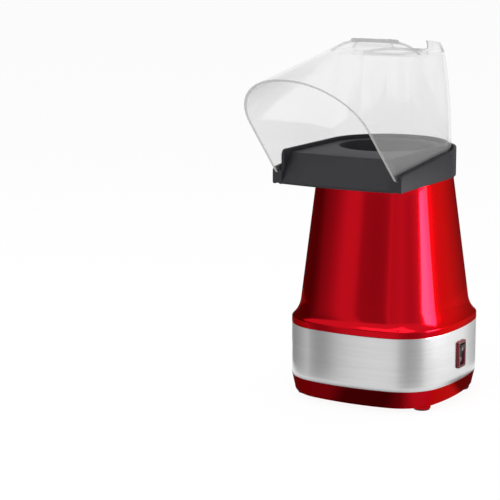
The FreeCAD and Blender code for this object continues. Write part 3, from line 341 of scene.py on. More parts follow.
mark_paint = finish("mark_paint", speckled((0.7, 0.7, 0.68), (0.8, 0.8, 0.78), 300.0, 0.4, FINE))
print("finishes:", len(by_slot) + 2)

# %% [markdown]
# ## Paint the solids
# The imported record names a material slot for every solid. Painting by slot means that a screw deep inside
# gets its plating in the same way as the body gets its lacquer.

# %% Paint every solid by its slot
for part in frame["record"]["subparts"]:
    shown = frame["nodes"][part["node"]].data.materials
    shown.clear()
    shown.append(by_slot[part["material_slot"]])

# %% [markdown]
# ## From rings to a mesh
# Most of the mouldings are one outline carried up through the machine while its size changes. A list of
# such rings is skinned into a closed mesh: neighbouring rings are joined by quads, and the ends are capped
# or joined.


# %% Skin over rings
def skin(rings, wrap):
    """Points and quads between rings; wrap joins the last ring to the first, else the ends are capped."""
    count = len(rings[0])
    points = [point for ring in rings for point in ring]
    faces = []
    for low in range(len(rings) if wrap else len(rings) - 1):
        high = (low + 1) % len(rings)
        for i in range(count):
            j = (i + 1) % count
            faces.append((low * count + i, low * count + j, high * count + j, high * count + i))
    if not wrap:
        last = (len(rings) - 1) * count
        faces.append(tuple(reversed(range(count))))
        faces.append(tuple(range(last, last + count)))
    return points, faces


print("skin ready")

# %% [markdown]
# ## From a mesh to an object
# Sizes are written in millimetres, as on a drawing, and scaled once here. Each object is welded, its faces
# are turned outward, and it is shaded smooth except where two faces meet at a real edge.

# %% Object from shells
MM = 0.001
WELD = 1e-6
SLIVER = 1e-7
EDGE_ANGLE = math.radians(35.0)


def settle(piece):
    """Weld, turn the faces outward, and shade smooth except at real edges."""
    work = bmesh.new()
    work.from_mesh(piece.data)
    bmesh.ops.remove_doubles(work, verts=work.verts, dist=WELD)
    bmesh.ops.dissolve_degenerate(work, edges=work.edges, dist=SLIVER)
    bmesh.ops.recalc_face_normals(work, faces=work.faces)
    work.to_mesh(piece.data)
    work.free()
    piece.data.shade_smooth()
    piece.data.set_sharp_from_angle(angle=EDGE_ANGLE)


def solid(name, shells, material):
    """One object from one or more (points, faces) shells in millimetres."""
    points, faces = [], []
    for shell_points, shell_faces in shells:
        start = len(points)
        points.extend(Vector(point) * MM for point in shell_points)
        faces.extend(tuple(start + i for i in face) for face in shell_faces)
    mesh = bpy.data.meshes.new(name)
    mesh.from_pydata(points, [], faces)
    mesh.materials.append(material)
    piece = bpy.data.objects.new(name, mesh)
    scene.collection.objects.link(piece)
    settle(piece)
    return piece


print("objects ready")

# %% [markdown]
# ## Cutting, joining and softening
# Windows and slots are cut with a boolean, as a mill would cut them, and bosses are joined on in the same
# way. The change is applied at once, so that each piece ends as one plain closed mesh.


# %% Cut, join and soften
def bake(piece):
    """Apply the piece's modifiers to its mesh."""
    graph = bpy.context.evaluated_depsgraph_get()
    made = bpy.data.meshes.new_from_object(piece.evaluated_get(graph))
    old = piece.data
    piece.modifiers.clear()
    piece.data = made
    made.name = piece.name
    bpy.data.meshes.remove(old)
    settle(piece)


def combine(piece, form, operation, materials="INDEX"):
    """Cut a form from the piece, or join it on, and throw the form away."""
    change = piece.modifiers.new(operation.lower(), "BOOLEAN")
    change.operation = operation
    change.object = form
    change.solver = "EXACT"
    change.material_mode = materials
    bake(piece)
    used = form.data
    bpy.data.objects.remove(form)
    bpy.data.meshes.remove(used)


def soften(piece, width, segments, angle):
    """Round the edges that are sharper than an angle, by a small width in millimetres."""
    change = piece.modifiers.new("soften", "BEVEL")
    change.width = width * MM
    change.segments = segments
    change.limit_method = "ANGLE"
    change.angle_limit = math.radians(angle)
    change.use_clamp_overlap = True
    bake(piece)


print("cutting tools ready")

# %% [markdown]
# The tray, the hood, the rocker and the rotor move on their own. A new piece has to say which body it rides
# on and which imported solid it stands for, so that solid is hidden.


# %% Ride, slot and replace
def place(piece, body, slot_name, *nodes):
    """The piece moves with a body and stands for the solids named. The slot's name is not used."""
    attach(piece, body)
    if nodes:
        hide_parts(*nodes)
    print(piece.name, "faces", len(piece.data.polygons), "on", body)


# %% [markdown]
# ## Rounded profiles
# A moulded edge is never sharp. This helper takes a polygon with a radius at each corner and returns the
# polygon with those corners turned into short arcs. It serves turned pieces and swept walls alike.


# %% Rounding, turning and extruding
def rounded(corners, steps=4):
    """The closed polygon of (x, y, radius) corners with its corners rounded."""
    flat = [Vector((x, y)) for x, y, _ in corners]
    made = []
    for i, (corner, (_, _, radius)) in enumerate(zip(flat, corners)):
        if radius <= 0:
            made.append((corner.x, corner.y))
            continue
        back = (flat[i - 1] - corner).normalized()
        ahead = (flat[(i + 1) % len(flat)] - corner).normalized()
        half = back.angle(ahead) / 2
        centre = corner + (back + ahead).normalized() * (radius / math.sin(half))
        start = corner + back * (radius / math.tan(half)) - centre
        end = corner + ahead * (radius / math.tan(half)) - centre
        sweep = start.angle_signed(end)
        for step in range(steps + 1):
            swung = Matrix.Rotation(-sweep * step / steps, 2) @ start
            made.append((centre.x + swung.x, centre.y + swung.y))
    return made


def turned(profile, x, y, steps):
    """A closed profile of (radius, z) turned about an upright axis at (x, y)."""
    rings = []
    for step in range(steps):
        angle = 2 * math.pi * step / steps
        rings.append([(x + r * math.cos(angle), y + r * math.sin(angle), z) for r, z in profile])
    return skin(rings, True)


def extruded_x(outline_yz, x0, x1):
    """A polygon of (y, z) points extruded along X."""
    return skin([[(x, y, z) for y, z in outline_yz] for x in (x0, x1)], False)


def extruded_y(outline_xz, y0, y1):
    """A polygon of (x, z) points extruded along Y."""
    return skin([[(x, y, z) for x, z in outline_xz] for y in (y0, y1)], False)


def block(x0, x1, y0, y1, z0, z1):
    """A box for cutting, between its bounds."""
    return extruded_x([(y0, z0), (y1, z0), (y1, z1), (y0, z1)], x0, x1)


def tool(shell, material=charcoal):
    """A form that is used up in a cut or a join."""
    return solid("tool", [shell], material)


print("profiles ready")

# %% [markdown]
# ## The body's outline
# Seen from above, the body is a square with bowed sides and round corners: eight arcs that run into each
# other without a kink. The same eight arcs, made smaller, give every level from the skirt to the roof. A
# size is half the width, the radius of the sides, and the radii of the front and the back corners.

# %% Eight tangent arcs
ARC_POINTS = 22
BASE = (71.0, 200.0, 40.0, 40.0)
WAIST = (64.5, 188.3, 37.7, 37.7)
TOP = (52.5, 150.0, 26.0, 38.0)


def shrink(sizes, depth):
    """The sizes of the outline a depth further in."""
    return tuple(size - depth for size in sizes)


def mixed(first, second, share):
    """The sizes a share of the way from one outline to another."""
    return tuple(a + (b - a) * share for a, b in zip(first, second))


def corner_place(half, side_r, corner_r):
    """Where a corner arc's centre lies, and the bearing in degrees at which it meets the side arc."""
    off = side_r - half
    at = (math.sqrt(2 * (side_r - corner_r) ** 2 - off ** 2) - off) / 2
    return at, math.degrees(math.atan2(at, at + off))


def ring_at(z, sizes):
    """The outline's points at one level."""
    half, side_r, front_r, back_r = sizes
    off = side_r - half
    front, fore = corner_place(half, side_r, front_r)
    back, aft = corner_place(half, side_r, back_r)
    arcs = [
        (-off, 0, side_r, -fore, aft), (back, back, back_r, aft, 90 - aft),
        (0, -off, side_r, 90 - aft, 90 + aft), (-back, back, back_r, 90 + aft, 180 - aft),
        (off, 0, side_r, 180 - aft, 180 + fore), (-front, -front, front_r, 180 + fore, 270 - fore),
        (0, off, side_r, 270 - fore, 270 + fore), (front, -front, front_r, 270 + fore, 360 - fore),
    ]
    ring = []
    for x, y, radius, start, end in arcs:
        for step in range(ARC_POINTS):
            angle = math.radians(start + (end - start) * step / ARC_POINTS)
            ring.append((x + radius * math.cos(angle), y + radius * math.sin(angle), z))
    return ring


def round_ring(ring, radius, z):
    """A circle whose points lie in the same directions as those of a ring."""
    made = []
    for x, y, _ in ring:
        reach = math.hypot(x, y)
        made.append((x * radius / reach, y * radius / reach, z))
    return made


def quarter(steps):
    """Angles from 0 to 90 degrees, in radians."""
    return [math.radians(90 * step / steps) for step in range(steps + 1)]


print("points in a ring", len(ring_at(0.0, BASE)))

# %% [markdown]
# ## The outside of the red body
# From the band up: a low lip, a crease, a sweep inward like a bell, then a long straight taper to the roof.
# It could be modelled as a box and smoothed, but rings keep the taper straight and the crease where it
# belongs.

# %% Outside of the red body
BAND_BOTTOM, BAND_TOP, LIP_TOP, WAIST_Z, ROOF_Z = 18.5, 63.0, 68.5, 82.5, 187.0
LIP_ROUND = 1.8
LIP_OUT = 0.2
BEND_IN, BEND_UP = 0.84, 0.38
EDGE = 0.5
ROOF_ROUND = 1.4
CARRIER_IN = 0.8
lip = shrink(BASE, -LIP_OUT)
carrier = shrink(BASE, CARRIER_IN)
rings = [ring_at(BAND_BOTTOM, carrier), ring_at(BAND_TOP, carrier)]
for angle in quarter(3):
    z = BAND_TOP + EDGE * (1 - math.cos(angle))
    rings.append(ring_at(z, shrink(lip, EDGE * (1 - math.sin(angle)))))
lip_start = LIP_TOP - LIP_ROUND * math.tan(math.pi / 8)
for angle in quarter(10)[:6]:
    z = lip_start + LIP_ROUND * math.sin(angle)
    rings.append(ring_at(z, shrink(lip, LIP_ROUND * (1 - math.cos(angle)))))
for step in range(2, 17):
    along = step / 16
    bend = 2 * along * (1 - along)
    z = LIP_TOP + (WAIST_Z - LIP_TOP) * (bend * BEND_UP + along ** 2)
    rings.append(ring_at(z, mixed(lip, WAIST, bend * BEND_IN + along ** 2)))
for step in range(1, 13):
    share = step / 12
    z = WAIST_Z + (ROOF_Z - ROOF_ROUND - WAIST_Z) * share
    rings.append(ring_at(z, mixed(WAIST, TOP, share)))
for angle in quarter(4)[1:]:
    z = ROOF_Z - ROOF_ROUND * (1 - math.sin(angle))
    rings.append(ring_at(z, shrink(TOP, ROOF_ROUND * (1 - math.cos(angle)))))
print("rings outside", len(rings))

# %% [markdown]
# ## The inside of the red body
# The roof has the round mouth of the popping chamber. The rings go over its edge and back down the inside,
# so the mesh is a closed moulding with a real wall. A window is then cut for the switch.

# %% Inside of the red body
WALL = 2.4
ROOF_T = 4.0
MOUTH_R = 43.0
UNDER_ROOF = 0.96
SWITCH_Z = 40.7
WINDOW_HALF_W, WINDOW_HALF_H = 6.3, 10.4
WINDOW_FROM_X, WINDOW_TO_X = 60.0, 75.0


def switch_window():
    """The opening that the switch snaps into."""
    low, high = SWITCH_Z - WINDOW_HALF_H, SWITCH_Z + WINDOW_HALF_H
    return tool(block(WINDOW_FROM_X, WINDOW_TO_X, -WINDOW_HALF_W, WINDOW_HALF_W, low, high))


rings.append(round_ring(rings[-1], MOUTH_R + EDGE, ROOF_Z))
rings.append(round_ring(rings[-1], MOUTH_R, ROOF_Z - EDGE))
rings.append(round_ring(rings[-1], MOUTH_R, ROOF_Z - ROOF_T))
rings.append(ring_at(ROOF_Z - ROOF_T, shrink(mixed(WAIST, TOP, UNDER_ROOF), WALL)))
rings.append(ring_at(WAIST_Z, shrink(WAIST, WALL)))
rings.append(ring_at(LIP_TOP - WALL, shrink(BASE, CARRIER_IN + WALL)))
rings.append(ring_at(BAND_BOTTOM, shrink(BASE, CARRIER_IN + WALL)))
red_body = solid("red_body", [skin(rings, True)], red_lacquer)
combine(red_body, switch_window(), "DIFFERENCE")
place(red_body, "base", "red_shell", "upper_housing")

# %% [markdown]
# ## The steel band
# A thin sleeve of brushed steel is slipped over the body's foot. Its two edges are rolled a little, so they
# catch a line of light, and a window is cut for the switch. A bent strip would do as well, but rings keep
# it exactly on the body's outline.

# %% Steel band
SLEEVE_T = 0.6
ROLL = 0.28
ROLL_STEPS = 4
sleeve = []
for z, side in ((BAND_BOTTOM, -1), (BAND_TOP, 1)):
    for angle in quarter(ROLL_STEPS) if side > 0 else reversed(quarter(ROLL_STEPS)):
        sleeve.append((ROLL * (1 - math.cos(angle)), z - side * ROLL * (1 - math.sin(angle))))
sleeve += [(SLEEVE_T, BAND_TOP), (SLEEVE_T, BAND_BOTTOM)]
levels = [BAND_BOTTOM + (BAND_TOP - BAND_BOTTOM) * step / 10 for step in range(1, 10)]
sleeve = sleeve[:ROLL_STEPS + 1] + [(0.0, z) for z in levels] + sleeve[ROLL_STEPS + 1:]
rings = [ring_at(z, shrink(BASE, depth)) for depth, z in sleeve]
steel_sleeve = solid("steel_sleeve", [skin(rings, True)], band_steel)
combine(steel_sleeve, switch_window(), "DIFFERENCE")
place(steel_sleeve, "base", "steel", "steel_band")

# %% [markdown]
# ## The skirt
# Under the band the red skirt draws in slightly and turns under in a soft edge. Its floor is open in the
# middle, where the fan takes in air, and four short nubs carry the rubber pads. A spigot inside reaches up
# into the body. As with the body, rings down the outside and up the inside make one closed wall.

# %% Red skirt
SKIRT_Z = 3.0
TURN_Z = 7.5
FLOOR_T = 2.5
INTAKE_R = 40.0
SPIGOT_Z = 23.5
SPIGOT_OUT, SPIGOT_IN = 3.5, 5.5
FOOT_STEPS = 40
AXIS_R = 0.01
NUB_R, NUB_LOW_Z, NUB_TOP_Z = 7.4, 1.0, 5.2
FEET = [(54.3, 39.0), (-54.3, 39.0), (-54.3, -39.0), (54.3, -39.0)]
brim, side, under = shrink(BASE, 0.2), shrink(BASE, 2.6), shrink(BASE, 7.5)
brim_z = BAND_BOTTOM - 0.3
rings = [ring_at(BAND_BOTTOM, shrink(BASE, EDGE)), ring_at(brim_z, brim)]
for step in range(1, 6):
    share = step / 5
    rings.append(ring_at(brim_z + (TURN_Z - brim_z) * share, mixed(brim, side, share)))
for angle in quarter(8)[1:]:
    z = TURN_Z - (TURN_Z - SKIRT_Z) * math.sin(angle)
    rings.append(ring_at(z, mixed(side, under, 1 - math.cos(angle))))
rings.append(round_ring(rings[-1], INTAKE_R + EDGE, SKIRT_Z))
rings.append(round_ring(rings[-1], INTAKE_R, SKIRT_Z + EDGE))
rings.append(round_ring(rings[-1], INTAKE_R, SKIRT_Z + FLOOR_T))
rings.append(ring_at(SKIRT_Z + FLOOR_T, shrink(BASE, SPIGOT_IN)))
rings.append(ring_at(SPIGOT_Z, shrink(BASE, SPIGOT_IN)))
rings.append(ring_at(SPIGOT_Z, shrink(BASE, SPIGOT_OUT)))
rings.append(ring_at(BAND_BOTTOM, shrink(BASE, SPIGOT_OUT)))
nub = rounded([(AXIS_R, NUB_LOW_Z, 0), (NUB_R, NUB_LOW_Z, 0.7), (NUB_R, NUB_TOP_Z, 0),
               (AXIS_R, NUB_TOP_Z, 0)])
nubs = [turned(nub, x, y, FOOT_STEPS) for x, y in FEET]
red_skirt = solid("red_skirt", [skin(rings, True), *nubs], red_lacquer)
place(red_skirt, "base", "red_shell", "base_shell")

# %% [markdown]
# ## Rubber pads
# A pad of soft rubber is glued under each nub, so the machine doesn't slide. It is a disc with a shallow
# ring pressed into its sole, which a turned profile gives more plainly than a cut would.

# %% Rubber pads
PAD_R, PAD_T = 6.7, 1.0
GROOVE = 0.35
groove = rounded([(AXIS_R, 0.0, 0), (3.6, 0.0, 0), (3.9, GROOVE, 0), (4.4, GROOVE, 0), (4.7, 0.0, 0),
                  (PAD_R, 0.0, 0.3), (PAD_R, PAD_T, 0.15), (AXIS_R, PAD_T, 0)])
rubber_pads = solid("rubber_pads", [turned(groove, x, y, FOOT_STEPS) for x, y in FEET], by_slot["rubber"])
place(rubber_pads, "base", "rubber", "foot_pads")

# %% [markdown]
# ## The switch's frame
# A rocker switch snaps into the band from outside. Its frame is a set of rounded rectangles that step
# outward, over the front and down into the well, so one skin gives the flange, its soft face and the well.

# %% Switch frame
BEZEL_X = 71.05


def rounded_rectangle(half_w, half_h, radius, x):
    """A rectangle with round corners, upright in the plane of one x."""
    signs = [(1, -1), (1, 1), (-1, 1), (-1, -1)]
    corners = [(half_w * across, half_h * up, radius) for across, up in signs]
    return [(x, y, SWITCH_Z + z) for y, z in rounded(corners, 6)]


frame_steps = [
    (6.1, 10.2, 0.5, 58.05), (6.1, 10.2, 0.5, BEZEL_X), (7.3, 11.5, 1.8, BEZEL_X), (7.3, 11.5, 1.8, 72.0),
    (7.15, 11.35, 1.7, 72.45), (6.8, 11.0, 1.5, 72.75), (6.3, 10.5, 1.3, 72.85), (5.2, 9.7, 1.0, 72.85),
    (4.85, 9.4, 0.8, 72.7), (4.6, 9.2, 0.6, 72.3), (4.6, 9.2, 0.6, 64.9),
]
rings = [rounded_rectangle(*step) for step in frame_steps]
switch_frame = solid("switch_frame", [skin(rings, False)], by_slot["dark_red"])
place(switch_frame, "base", "dark_red", "switch_housing")

# %% [markdown]
# ## The rocker and its marks
# The rocker is a dished paddle on a pivot, and it rests with its lower end pressed. Its side view is
# extruded across the well and its edges are softened. The line and the ring for on and off are printed on
# the real one; here they are thin raised forms, so that the mesh itself carries them.

# %% Rocker and its marks
PIVOT = Vector((69.5, 0.0, SWITCH_Z))
ROCKER_HALF_W = 4.4
REST_TILT = math.radians(10.0)
MARK_BACK, LINE_FACE, RING_FACE = 2.05, 2.42, 2.4
LINE_HALF_W = 0.35
LINE_LOW_Z, LINE_HIGH_Z = SWITCH_Z + 3.2, SWITCH_Z + 6.2
RING_IN_R, RING_OUT_R = 1.2, 1.75
RING_Z = SWITCH_Z - 4.7
RING_STEPS = 32
rocker_side = rounded([
    (1.8, 0.0, 6.0), (2.6, 8.4, 0.5), (0.6, 8.4, 0.4), (-3.0, 4.0, 0.8), (-3.0, -4.0, 0.8),
    (0.6, -8.4, 0.4), (2.6, -8.4, 0.5),
], 5)
rocker_shape = [(PIVOT.x + out, PIVOT.z + up) for out, up in rocker_side]
paddle = extruded_y(rocker_shape, -ROCKER_HALF_W, ROCKER_HALF_W)
rocker = solid("rocker", [paddle], by_slot["black_plastic"])
soften(rocker, width=0.3, segments=2, angle=60.0)
bar = block(PIVOT.x + MARK_BACK, PIVOT.x + LINE_FACE, -LINE_HALF_W, LINE_HALF_W, LINE_LOW_Z, LINE_HIGH_Z)
ring_section = [(RING_IN_R, MARK_BACK), (RING_IN_R, RING_FACE), (RING_OUT_R, RING_FACE),
                (RING_OUT_R, MARK_BACK)]
loop = []
for step in range(RING_STEPS):
    angle = 2 * math.pi * step / RING_STEPS
    ring = []
    for radius, out in ring_section:
        ring.append((PIVOT.x + out, radius * math.cos(angle), RING_Z + radius * math.sin(angle)))
    loop.append(ring)
rocker_marks = solid("rocker_marks", [bar, skin(loop, True)], mark_paint)
turn = Matrix.Rotation(REST_TILT, 4, "Y")
tilt = Matrix.Translation(PIVOT * MM) @ turn @ Matrix.Translation(-PIVOT * MM)
for piece in (rocker, rocker_marks):
    piece.data.transform(tilt)
place(rocker, "rocker", "black_plastic", "switch_rocker")
place(rocker_marks, "rocker", "black_plastic")

# %% [markdown]
# ## The section of the tray's walls
# The tray is one moulding. Round it run an outer wall, a channel for the hood's foot and an inner wall, the
# cheek. The outer wall slopes down toward the front and ends in a round nose. One function gives the
# section at any place along the side, so that every slope and round is in a single sweep.

# %% Section of the tray's walls
TRAY_HALF = 58.0
TRAY_FRONT = -91.6
CHANNEL_Z = 196.0
DECK_Z = 211.6
BOW = 5.0


def front_edge(x, set_back=0.0):
    """The bowed front edge of the tray."""
    return TRAY_FRONT - BOW * (1 - (x / TRAY_HALF) ** 2) + set_back


NOSE_Y = -92.1
NOSE_R = 4.0
WALL_FRONT_Z = 200.6
SLOPE_END_Y = 30.0


def nose_drop(run):
    """How far a round nose has come down at a distance behind its tip."""
    bend = min(max(1 - run / NOSE_R, 0.0), 1.0)
    return NOSE_R * (1 - math.sqrt(1 - bend * bend))


def wall_top(y):
    """Level behind, a straight slope along the side, and a round nose at the front."""
    share = min((y - NOSE_Y) / (SLOPE_END_Y - NOSE_Y), 1.0)
    return WALL_FRONT_Z + (DECK_Z - WALL_FRONT_Z) * share - nose_drop(y - NOSE_Y)


CHEEK_FRONT = -89.0
CHEEK_Z = 215.0
STUB_Z = CHANNEL_Z + 1.8


def cheek_top(y):
    """A low stub in front, then a round nose up to the cheek's level top."""
    return STUB_Z if y < CHEEK_FRONT else CHEEK_Z - nose_drop(y - CHEEK_FRONT)


OUTER_T = 2.5
CHEEK_OUT, CHEEK_IN = 6.7, 9.2
HOLLOW_Z = 193.5
FRONT_HOLLOW_Z = ROOF_Z + 0.65


def wall_section(y):
    """The section as (depth, z) points: outer wall, channel, cheek, and the hollow underneath."""
    top, inner = wall_top(y), cheek_top(y)
    hollow = HOLLOW_Z if y >= CHEEK_FRONT else FRONT_HOLLOW_Z
    return rounded([
        (0.0, ROOF_Z, 1.2), (0.0, top, 0.7), (OUTER_T, top, 0.7), (OUTER_T, CHANNEL_Z, 0.5),
        (CHEEK_OUT, CHANNEL_Z, 0.5), (CHEEK_OUT, inner, 0.7), (CHEEK_IN, inner, 0.7), (CHEEK_IN, ROOF_Z, 0.3),
        (CHEEK_OUT, ROOF_Z, 0.3), (CHEEK_OUT, hollow, 0.3), (OUTER_T, hollow, 0.3), (OUTER_T, ROOF_Z, 0.2),
    ], 3)


print("points in the walls' section", len(wall_section(0.0)))

# %% [markdown]
# ## The sweep of the tray's walls
# From above, the walls follow a D: straight along both sides and a half turn behind. The section is set
# square to that path at each station, closer together where the noses curve, and the ends lean to the bowed
# front.

# %% Sweep of the tray's walls
TURN_STEPS = 72
side_y = [TRAY_FRONT, -91.2, -90.7, -90.0, CHEEK_FRONT - 0.02, CHEEK_FRONT]
side_y += [CHEEK_FRONT + NOSE_R * (1 - math.cos(angle)) for angle in quarter(6)[1:]]
side_y += [-80.0 + 8.0 * step for step in range(10)]
path = [(TRAY_HALF, y, 1.0, 0.0) for y in side_y]
for step in range(TURN_STEPS + 1):
    angle = math.pi * step / TURN_STEPS
    out_x, out_y = math.cos(angle), math.sin(angle)
    path.append((TRAY_HALF * out_x, TRAY_HALF * out_y, out_x, out_y))
path += [(-TRAY_HALF, y, -1.0, 0.0) for y in reversed(side_y)]
walls = []
for x, y, out_x, out_y in path:
    lead = max((CHEEK_FRONT - y) / (CHEEK_FRONT - TRAY_FRONT), 0.0)
    ring = []
    for depth, z in wall_section(y):
        inner_x = x - out_x * depth
        ring.append((inner_x, y - out_y * depth + lead * (front_edge(inner_x) - TRAY_FRONT), z))
    walls.append(ring)
print("tray wall sections", len(walls))

# %% [markdown]
# ## The deck and the ramp
# The deck closes the top of the machine round the chimney, and the ramp leads forward and down. One profile
# runs from the back of the deck, over its front edge, down the ramp, round the lip and back underneath. It
# is carried across the tray while its front follows the bow and its back follows the half turn.

# %% Deck and ramp
RAMP_FOOT_Z = 189.6
RAMP_RUN = 16.0
RAMP_BACK = 0.6
DECK_HALF = 49.3
DECK_UNDER_Z = 209.1
LIP_UNDER_Z = 187.05
DECK_SECTIONS = 96
ramp_top = RAMP_BACK + RAMP_RUN
ramp_slope = (DECK_Z - RAMP_FOOT_Z) / RAMP_RUN
chute_profile = [
    (ramp_top + 0.9, DECK_Z), (ramp_top + 0.3, DECK_Z - 0.1),
    (ramp_top - 0.5, DECK_Z - 0.1 - 0.5 * ramp_slope), (RAMP_BACK, RAMP_FOOT_Z),
    (0.1, RAMP_FOOT_Z - 0.2), (0.0, RAMP_FOOT_Z - 0.6), (0.0, 188.2), (0.35, 187.4),
    (1.2, LIP_UNDER_Z), (3.0, LIP_UNDER_Z), (ramp_top + 3.0, DECK_UNDER_Z),
]
sections = []
for step in range(DECK_SECTIONS + 1):
    angle = math.pi * step / DECK_SECTIONS
    x, back = -DECK_HALF * math.cos(angle), DECK_HALF * math.sin(angle)
    section = [(x, front_edge(x, set_back), z) for set_back, z in chute_profile]
    sections.append(section + [(x, back, DECK_UNDER_Z), (x, back, DECK_Z)])
deck = solid("deck", [skin(sections, False)], charcoal)
print("deck faces", len(deck.data.polygons))

# %% [markdown]
# ## The chimney and the whole tray
# A short chimney under the deck carries on the wall of the popping chamber. It is joined on as a round
# block and bored out with a flared top, as on a lathe. The deck is then joined to the walls, so that the
# tray is one closed mesh like the one moulding that it is.

# %% Chimney and whole tray
CHIMNEY_R = 39.8
CHIMNEY_T = 2.4
CHIMNEY_Z = 189.5
ROUND_STEPS = 144


def stacked_circles(levels):
    """A closed round form from a list of (radius, z) levels."""
    turns = [2 * math.pi * step / ROUND_STEPS for step in range(ROUND_STEPS)]
    return skin([[(r * math.cos(turn), r * math.sin(turn), z) for turn in turns] for r, z in levels], False)


chimney = [(CHIMNEY_R + CHIMNEY_T, CHIMNEY_Z), (CHIMNEY_R + CHIMNEY_T, DECK_Z - 1.0)]
bore = [(CHIMNEY_R, CHIMNEY_Z - 9.0), (CHIMNEY_R, DECK_Z - 1.0), (CHIMNEY_R + 0.3, DECK_Z - 0.3),
        (CHIMNEY_R + 1.3, DECK_Z + 0.7)]
combine(deck, tool(stacked_circles(chimney)), "UNION")
combine(deck, tool(stacked_circles(bore)), "DIFFERENCE")
chute_moulding = solid("chute_moulding", [skin(walls, False)], charcoal)
combine(chute_moulding, deck, "UNION")
place(chute_moulding, "tray", "charcoal", "chute_tray")

# %% [markdown]
# ## The section of the hood
# The hood is a clear tunnel that stands in the tray's channel and leads forward. Half of its upright
# section is a leaning side, an arc that bends inward, a corner arc and a crown arc, all without a kink.
# Three such sections, at the mouth, at the ridge and at the back, say all of its shape.

# %% Section of the hood
HOOD_T = 2.2
HOOD_HALF = 54.5
LEAN = math.radians(2.0)
MOUTH = (33.0, 288.0, 51.0, 69.0)
RIDGE_Z = 300.9
RIDGE = (65.0, 186.0, 35.0, 338.0)
BACK_Z = 318.0
BACK = (31.0, 467.0, 40.0, 150.0)


def arc_points(centre, start, end, steps):
    """Points round a centre from one point to another, without the first."""
    first = start - centre
    sweep = first.angle_signed(end - centre)
    return [centre + Matrix.Rotation(-sweep * step / steps, 2) @ first for step in range(1, steps + 1)]


def hood_side(apex, sizes, depth):
    """Half of the section as (x, z) points, from the foot to the crown's middle."""
    side_h, side_r, corner_r, crown_r = sizes
    up = Vector((-math.sin(LEAN), math.cos(LEAN)))
    inward = Vector((-math.cos(LEAN), -math.sin(LEAN)))
    foot = Vector((HOOD_HALF, CHANNEL_Z))
    side_centre = foot + up * side_h + inward * side_r
    crown_centre = Vector((0.0, apex - crown_r))
    apart = crown_centre - side_centre
    to_crown = apart.normalized()
    side_reach, crown_reach = side_r - corner_r, crown_r - corner_r
    along = (side_reach ** 2 - crown_reach ** 2 + apart.length_squared) / (2 * apart.length)
    across = math.sqrt(side_reach ** 2 - along ** 2)
    centre = side_centre + to_crown * along + Vector((-to_crown.y, to_crown.x)) * across
    start = side_centre - inward * (side_r - depth)
    bend = side_centre + (centre - side_centre).normalized() * (side_r - depth)
    corner = crown_centre + (centre - crown_centre).normalized() * (crown_r - depth)
    inner_foot = foot - Vector((depth / math.cos(LEAN), 0.0))
    made = [inner_foot.lerp(start, step / 6) for step in range(7)]
    made += arc_points(side_centre, start, bend, 8) + arc_points(centre, bend, corner, 20)
    return made + arc_points(crown_centre, corner, Vector((0.0, apex - depth)), 10)


print("points in half a section", len(hood_side(RIDGE_Z, RIDGE, 0.0)))

# %% [markdown]
# ## The hood's wall
# The tunnel widens from the mouth to the ridge and closes behind in a half turn. The outside and the inside
# are two such forms, one wall apart, and the inside is cut from the outside. That leaves a sheet of even
# thickness, open below.

# %% Wall of the hood
SEAT_FRONT = -24.0
MOUTH_TOP = (-178.2, 281.3)
OVERRUN = 8.3
TUNNEL_STEPS = 30
BLEND_STEPS = 10


def between(first, second, share):
    """A section a share of the way from one section to another."""
    return [tuple(a + (b - a) * share for a, b in zip(p, q)) for p, q in zip(first, second)]


def hood_form(depth):
    """A closed form: the tunnel's right side, the half turn behind, and the left side."""
    slope = (RIDGE_Z - MOUTH_TOP[1]) / (SEAT_FRONT - MOUTH_TOP[0])
    far = MOUTH_TOP[0] - OVERRUN
    mouth = hood_side(MOUTH_TOP[1] - OVERRUN * slope, MOUTH, depth)
    ridge = hood_side(RIDGE_Z, RIDGE, depth)
    back = hood_side(BACK_Z, BACK, depth)
    sections = []
    for step in range(TUNNEL_STEPS + 1):
        y = far + (SEAT_FRONT - far) * step / TUNNEL_STEPS
        sections.append((y, between(mouth, ridge, step / TUNNEL_STEPS)))
    for step in range(1, BLEND_STEPS):
        share = step / BLEND_STEPS
        sections.append((SEAT_FRONT * (1 - share), between(ridge, back, share * share * (3 - 2 * share))))
    rings = [[(x, y, z) for x, z in side] for y, side in sections]
    for step in range(TURN_STEPS + 1):
        angle = math.pi * step / TURN_STEPS
        rings.append([(x * math.cos(angle), x * math.sin(angle), z) for x, z in back])
    rings += [[(-x, y, z) for x, z in side] for y, side in reversed(sections)]
    count = len(back)
    points = [point for ring in rings for point in ring]
    faces = []
    last = (len(rings) - 1) * count
    for start in range(0, last, count):
        for i in range(start, start + count - 1):
            faces.append((i, i + 1, i + count + 1, i + count))
    # One flat face closes the foot, and one closes the front end.
    faces.append(tuple(range(0, last + 1, count)))
    faces.append(tuple(range(count)) + tuple(reversed(range(last, last + count - 1))))
    return points, faces


hood = solid("hood", [hood_form(0.0)], clear_plastic)
combine(hood, tool(hood_form(HOOD_T)), "DIFFERENCE")
print("hood faces", len(hood.data.polygons))

# %% [markdown]
# ## The seat on the hood
# A flat seat is let into the top of the hood. The form above the seat is cut away, which leaves a low rim
# round the back. A floor and a step in front are then joined on. Both are cut from the hood's own form, a
# little inside its face, so that they end in its wall and no two faces lie on each other.

# %% Seat on the hood
REACH = 300.0
PAST = 9.0
SEAT_Z = 290.4
SEAT_INSET = 0.6
RIM_FRONT_Y = 18.0
RIM_Z = SEAT_Z + 6.8
STEP_HALF_W = 22.0
STEP_Z = SEAT_Z + 11.6
step_front, seat_under = SEAT_FRONT - HOOD_T, SEAT_Z - HOOD_T


def cut_from_form(y0, y1, z0, z1):
    """The part of the hood's filled form that lies in a block."""
    made = tool(hood_form(SEAT_INSET))
    combine(made, tool(block(-REACH, REACH, y0, y1, z0, z1)), "INTERSECT")
    return made


